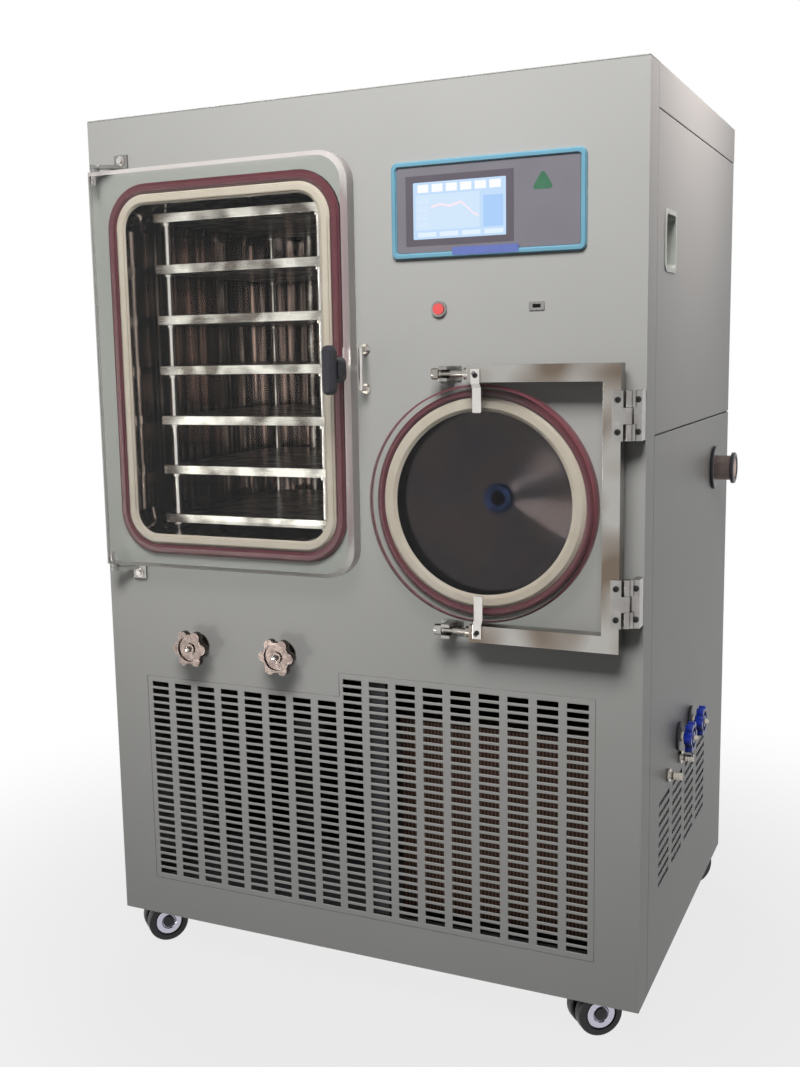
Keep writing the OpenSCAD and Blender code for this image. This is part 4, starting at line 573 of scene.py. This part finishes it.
def lit(name, colour):
    """A patch of the lit screen: it glows in its colour, and the smooth glass over it reflects."""
    finish, _, shader, _ = new_finish(name, roughness=0.12)
    shader.inputs["Base Color"].default_value = linear("#0a0f16")
    shader.inputs["Emission Color"].default_value = linear(colour)
    shader.inputs["Emission Strength"].default_value = 0.95
    return finish


def slab(outline, front, thick_mm):
    """Points and faces of a flat plate: an outline in x and z, in metres, and its depth behind."""
    count = len(outline)
    points = [Vector((x, front, z)) for x, z in outline]
    points += [Vector((x, front + thick_mm / 1000, z)) for x, z in outline]
    sides = [(i, (i + 1) % count, count + (i + 1) % count, count + i) for i in range(count)]
    return points, sides + [tuple(range(count)), tuple(range(count, 2 * count))]


def rectangle(left, low, right, high, round_mm=1.0):
    """Outline of an upright rectangle with small round corners, in metres."""
    r = round_mm / 1000
    centres = [(right - r, high - r, 0), (left + r, high - r, 90),
               (left + r, low + r, 180), (right - r, low + r, 270)]
    return [(x + r * math.cos(math.radians(start + step)),
             z + r * math.sin(math.radians(start + step)))
            for x, z, start in centres for step in (0, 30, 60, 90)]


# The screen shows a generic trend line among blank tiles. Patches lie a hair in front of the glass.
coat(lit("screen_backlight", "#c4dffc"), "touchscreen")
screen_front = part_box("touchscreen")[0].y
screen_w, screen_h = 0.148, 0.084
screen_x, screen_z = middle("touchscreen").x - screen_w / 2, middle("touchscreen").z - screen_h / 2


def on_screen(name, colour, patches):
    """Patches of one colour on the screen; each goes by its left, lower, right and upper share."""
    shapes = [slab(rectangle(screen_x + screen_w * left, screen_z + screen_h * low,
                             screen_x + screen_w * right, screen_z + screen_h * high, 0.4),
                   screen_front - 0.0002, 0.3) for left, low, right, high in patches]
    make(name, *gather(shapes), lit(name, colour), "cabinet", "screen_glass")


tiles = [(0.05 + 0.155 * i, 0.82, 0.17 + 0.155 * i, 0.96) for i in range(6)]
left_readings = [(0.05, 0.20 + 0.14 * i, 0.17, 0.30 + 0.14 * i) for i in range(4)]
foot_readings = [(0.05 + 0.24 * i, 0.04, 0.25 + 0.24 * i, 0.12) for i in range(4)]
on_screen("screen_field", "#d3e8fd", [(0.03, 0.16, 0.72, 0.78)])
on_screen("screen_sidebar", "#a9cffb", [(0.76, 0.16, 0.97, 0.70)])
on_screen("screen_tiles", "#fdfeff", tiles)
on_screen("screen_readings", "#e4f3ff", left_readings + foot_readings)

trend = [(0.20, 0.56), (0.30, 0.60), (0.40, 0.56), (0.52, 0.62), (0.60, 0.50), (0.66, 0.40),
         (0.71, 0.36)]
half_line = 0.0016
bends = [(screen_x + screen_w * u, screen_z + screen_h * v) for u, v in trend]
trend_line = ([(x, z + half_line) for x, z in bends]
              + [(x, z - half_line) for x, z in reversed(bends)])
make("screen_trend", *slab(trend_line, screen_front - 0.0003, 0.2), lit("trend_line", "#fdeaf4"),
     "cabinet", "screen_glass")

# A printed frame runs round the screen, 12 mm wide at the sides and 10 mm above and below. Its ink
# is darker and warmer than the overlay's.
frame_print = surfaced("dark_printing_ink", "#5e5862", "#534d56", 40, 0.8, 0.01, 0.34, 0.46)
overlay_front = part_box("control_overlay")[0].y
side_w, strip_h = 0.012, 0.010
left, right = screen_x - side_w, screen_x + screen_w + side_w
low, high = screen_z - strip_h, screen_z + screen_h + strip_h
strips = [(left, screen_z, screen_x, screen_z + screen_h),
          (right - side_w, screen_z, right, screen_z + screen_h),
          (left, low, right, screen_z), (left, high - strip_h, right, high)]
make("screen_frame", *gather([slab(rectangle(*strip, 0.2), overlay_front - 0.0001, 0.15)
                              for strip in strips]), frame_print, "cabinet", "overlay_film")

# A plain green mark is printed on the overlay at the right: a triangle with blunt corners.
print_green, tree, shader, place = new_finish("green_printing_ink", roughness=0.45)
mottle(tree, shader, place, "#437358", "#335f47", 12)
bezel_low, bezel_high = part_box("control_bezel")
mark_x, mark_z = bezel_high.x - 0.065, bezel_high.z - 0.045
mark_w, mark_h, blunt_w, blunt_h = 0.01215, 0.012, 0.0035, 0.003
triangle = []
for way in (90, 210, 330):
    for turn in (-12, 0, 12):
        tip, blunt = math.radians(way + turn), math.radians(way)
        triangle.append((mark_x + mark_w * math.cos(tip) + blunt_w * math.cos(blunt),
                         mark_z + mark_h * math.sin(tip) + blunt_h * math.sin(blunt)))
make("overlay_mark", *slab(triangle, overlay_front - 0.00015, 0.2), print_green, "cabinet",
     "overlay_film")

# A violet film tab sticks over the bezel's lower edge, glossier than the plastic under it.
violet_film, tree, shader, place = new_finish("violet_film", roughness=0.3)
mottle(tree, shader, place, "#6b79bb", "#5c6aab", 20)
tab = rectangle(bezel_low.x + 0.100, bezel_low.z + 0.003, bezel_low.x + 0.204,
                bezel_low.z + 0.015, 2.0)
make("film_tab", *slab(tab, bezel_low.y - 0.0003, 0.25), violet_film, "cabinet", "overlay_film")

# ---------------------------------------------------------------- button and data socket
# A red polycarbonate lens, lit from behind, in a turned steel ring. The light in it fills its own
# shadow side, so it looks evenly red.
red_lens, tree, shader, place = new_finish("red_polycarbonate", roughness=0.22)
mottle(tree, shader, place, "#d85351", "#c43c3b", 6)
shader.inputs["Emission Color"].default_value = linear("#e86a6a")
shader.inputs["Emission Strength"].default_value = 0.25
coat(red_lens, "button_cap", edge_mm=0.8)
coat(pressed_steel, "button_bezel", edge_mm=0.6)

# The socket's shell is grey moulded ABS, matt beside the lens, with a black contact tongue in it.
grey_abs = surfaced("grey_moulded_abs", "#939291", "#868584", 30, 1.0, 0.03, 0.42, 0.58)
coat(grey_abs, "data_socket", edge_mm=0.4)
socket_x, socket_z = middle("data_socket").x, middle("data_socket").z
tongue = rectangle(socket_x - 0.005, socket_z - 0.0003, socket_x + 0.005, socket_z + 0.0011, 0.3)
make("socket_tongue", *slab(tongue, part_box("data_socket")[0].y + 0.0022, 9), black_oxide,
     "cabinet", "black_plastic")

# ---------------------------------------------------------------- front valves
# Needle valves with cast handwheels: one lets air in, the other drains the trap. The casting is
# polished by hand over its rough skin, so it gleams in lumps some 7 mm wide, warm and uneven.
coat(bright_steel, "front_valve_bodies", edge_mm=0.5)
# Its colour goes from warm grey to dark in patches some 9 mm wide: the warm tone is the casting's,
# the dark patches are painted reflection.
cast_steel = surfaced("polished_cast_steel", "#706762", "#3e3433", 9, 7.0, 0.22, 0.22, 0.36,
                      metallic=1.0)
coat(cast_steel, "vent_handwheel", "drain_handwheel", edge_mm=1.5)


def dome_nut(wheel, axis, across_mm, sink_mm):
    """A domed nut on the hub of a handwheel, seated sink_mm behind the wheel's front."""
    low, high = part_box(wheel)
    outward = Vector(axis)
    reach = max(outward.dot(low), outward.dot(high)) - sink_mm / 1000
    spot = middle(wheel) - outward * outward.dot(middle(wheel)) + outward * reach
    r = across_mm / 2
    nut = turned([(r * 1.15, 0), (r * 1.15, r * 0.7), (r, r * 0.9)], spot, axis, 6)
    cap = turned([(r * 0.95, r * 0.8), (r * 0.9, r * 1.1), (r * 0.7, r * 1.5),
                  (r * 0.35, r * 1.8)], spot, axis, 24)
    return gather([nut, cap])


for body, wheel in (("vent_wheel", "vent_handwheel"), ("drain_wheel", "drain_handwheel")):
    make(wheel + "_nut", *dome_nut(wheel, forward, 9, 0.1), bright_steel, body, "polished_steel")

# ---------------------------------------------------------------- side valves and hose outlets
# Two valves with moulded polypropylene handwheels, and below them two nickel-plated hose barbs.
# The wheels are a deep, slightly waxy blue; nickel is warmer and softer in its gleam than steel.
blue_plastic = surfaced("blue_polypropylene", "#2140bd", "#182d9b", 14, 1.4, 0.03, 0.26, 0.4)
coat(blue_plastic, "side_handwheel_front", "side_handwheel_rear", edge_mm=1.5)
nickel = surfaced("nickel_plate", "#bdb7ae", "#a39b91", 10, 1.2, 0.01, 0.18, 0.32, metallic=1.0)
coat(nickel, "side_valve_bodies", edge_mm=0.4)
coat(black_abs, "panel_grommets", edge_mm=0.4)
sideways = (1, 0, 0)
for body, wheel in (("side_wheel_front", "side_handwheel_front"),
                    ("side_wheel_rear", "side_handwheel_rear")):
    make(wheel + "_nut", *dome_nut(wheel, sideways, 8, 0.1), nickel, body, "polished_steel")

# ---------------------------------------------------------------- vacuum port
# A short stainless tube with a small clamping flange. Its pink tint is a painted reflection of warm
# surroundings. A black rubber ring is pressed over the flange to seal against the pump's hose.
warm_reflecting_steel = surfaced("stainless_painted_warm", "#e0cfca", "#a58d84", 18, 1.2, 0.01, 0.2, 0.36,
                        metallic=1.0)
coat(warm_reflecting_steel, "vacuum_port", edge_mm=0.5)
port_low, port_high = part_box("vacuum_port")
port_r = (port_high.z - port_low.z) * 1000 / 2
port_mouth = Vector((port_high.x, middle("vacuum_port").y, middle("vacuum_port").z))
seal_ring = [(port_r - 6.5, 0.0), (port_r - 6.5, 1.4), (port_r - 1.5, 1.8), (port_r + 0.7, 0.9),
             (port_r + 1.0, -0.5), (port_r + 1.0, -4.6), (port_r + 0.1, -5.0), (port_r + 0.1, 0.0)]
make("port_seal_ring", *turned(seal_ring, port_mouth, sideways, 48, hollow=True), black_abs,
     "cabinet", "black_plastic")

# ---------------------------------------------------------------- machinery behind the grille
# Two welded compressors in black enamel, which is smooth and glossy under its dust; a painted
# electrical box, satin grey; a primed fan shroud, and a moulded fan and cable gland.
black_enamel = surfaced("black_gloss_enamel", "#2a2a2d", "#1c1c1f", 50, 4.0, 0.05, 0.25, 0.42)
coat(black_enamel, "compressors", edge_mm=0.5)
box_paint = surfaced("grey_box_paint", "#757572", "#686865", 80, 2.0, 0.03, 0.42, 0.58)
coat(box_paint, "electrical_box", edge_mm=0.6)
coat(primer, "fan_shroud")
coat(black_abs, "cable_gland", "fan_rotor", edge_mm=0.4)

# The condenser's copper fins are dusty, so they look brown and dull. Real ones stand about 2 mm
# apart; these are drawn 6.2 mm apart, so that they show through the grille.
fin_mm = 6.22
copper, tree, shader, place = new_finish("dusty_copper_fins", roughness=0.6, metallic=0.6)
# Painted shade: the dark bands stand for the shaded gaps between the fins, the lighter ones for the
# fin edges.
fins_and_painted_gaps = add(tree, "ShaderNodeTexWave", {
    "Vector": place, "Scale": wave_scale / fin_mm, "Distortion": 0.2},
    wave_type="BANDS", bands_direction="X")
fin_and_gap_tone = add(tree, "ShaderNodeMix", {
    0: fins_and_painted_gaps.outputs["Fac"], 6: linear("#2a1f1a"), 7: linear("#6d5244")}, data_type="RGBA")
tree.links.new(fin_and_gap_tone.outputs[2], shader.inputs["Base Color"])
coat(copper, "finned_coil", edge_mm=0.5)

# The fluid tank is wrapped in black foam: dead matt, with a coarse skin that swallows the light.
foam = surfaced("black_insulating_foam", "#302f31", "#222124", 30, 4.0, 0.4, 0.85, 0.95)
coat(foam, "fluid_tank", edge_mm=1.0)

# ---------------------------------------------------------------- dust screens
# Black wire screens keep the dust out: behind the rear louvres, on both sides of the middle post,
# and behind the side louvres. They also work as painted shade: their black stands for the dark
# inside of the cabinet seen through the louvres. Their wires are woven 2.5 mm apart and look like a
# dark, soft grid.
weave_mm = 2.5
wire_screen, tree, shader, place = new_finish("black_wire_mesh", roughness=0.6, metallic=0.3)
wires = [add(tree, "ShaderNodeTexWave", {"Vector": place, "Scale": wave_scale / weave_mm},
             bands_direction=way) for way in ("DIAGONAL", "Z")]
weave = add(tree, "ShaderNodeMath", {
    0: wires[0].outputs["Fac"], 1: wires[1].outputs["Fac"]}, operation="MAXIMUM")
tone = add(tree, "ShaderNodeMix", {
    0: weave.outputs[0], 6: linear("#0c0c0d"), 7: linear("#262628")}, data_type="RGBA")
tree.links.new(tone.outputs[2], shader.inputs["Base Color"])
relief = add(tree, "ShaderNodeBump", {"Height": weave.outputs[0], "Distance": 0.0004})
tree.links.new(relief.outputs[0], shader.inputs["Normal"])

screen_mm, behind_sheet, half_field, post_w = 1.2, 0.0001, 0.315, 0.030
post_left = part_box("electrical_box")[0].x
field_middle = (rear_low.x + rear_high.x) / 2
rear_ends = [(field_middle - half_field, post_left - 0.002),
             (post_left + post_w + 0.002, field_middle + half_field)]
screens = [slab(rectangle(start, rear_low.z + 0.064, end, rear_low.z + 0.265, 2.0),
                rear_low.y - screen_mm / 1000 - behind_sheet, screen_mm)
           for start, end in rear_ends]
# The side screen is drawn like a rear one, by depth and height, and turned a quarter round.
side_start, side_end = at(0, 126, 146), at(0, 532, 298)
side_points, side_faces = slab(rectangle(side_start.y, side_start.z, side_end.y, side_end.z, 2.0),
                               0, screen_mm)
sheet_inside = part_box("right_lower_panel")[1].x - 0.002 - behind_sheet
screens.append(([Vector((sheet_inside - point.y, point.x, point.z)) for point in side_points],
                side_faces))
make("dust_screens", *gather(screens), wire_screen, "cabinet", "frame_steel")

# ---------------------------------------------------------------- casters
# Twin-wheel swivel casters on primed plates: moulded black bodies, and polyurethane tyres, which
# are black with a waxy, half-matt surface.
coat(primer, "caster_plates")
tyre = surfaced("black_polyurethane_tyre", "#1b1b21", "#111116", 16, 1.0, 0.03, 0.34, 0.52)
coat(tyre, "caster_fl", "caster_fr", "caster_bl", "caster_br", edge_mm=0.8)
coat(tyre, "wheels_fl", "wheels_fr", "wheels_bl", "wheels_br", edge_mm=0.5)

# On the outer face of each wheel sits a chrome-plated pressed ring, bright and faintly blue, round
# a black hub cap. Outlines go by radius and reach from the wheel's face, in mm.
pressed_ring, tree, shader, place = new_finish("bright_chrome_plate", roughness=0.2, metallic=0.85)
mottle(tree, shader, place, "#dedaea", "#c8c4d6", 8)
half_gap_mm, wheel_w_mm = 6.3, 20.0
face_reach = (half_gap_mm + wheel_w_mm) / 1000
ring = [(23.5, -2.4), (23.5, -0.2), (22.5, 0.6), (14.0, 0.6), (12.8, -0.6), (12.8, -2.4)]
hub = [(10.5, -2.4), (10.5, 0.6), (9.0, 1.6), (5.0, 2.0)]
for joint in frame["record"]["behaviour"]["joints"]:
    if joint["name"].endswith("_roll"):
        centre, axle = Vector(joint["pos_m"]), Vector(joint["axis"])
        where = joint["name"].split("_")[1]
        sides = [(centre + axle * side * face_reach, axle * side) for side in (-1, 1)]
        make("ring_" + where, *gather([turned(ring, spot, way, 40) for spot, way in sides]),
             pressed_ring, joint["child"], "polished_steel")
        make("hub_" + where, *gather([turned(hub, spot, way, 28) for spot, way in sides]),
             black_abs, joint["child"], "black_plastic")
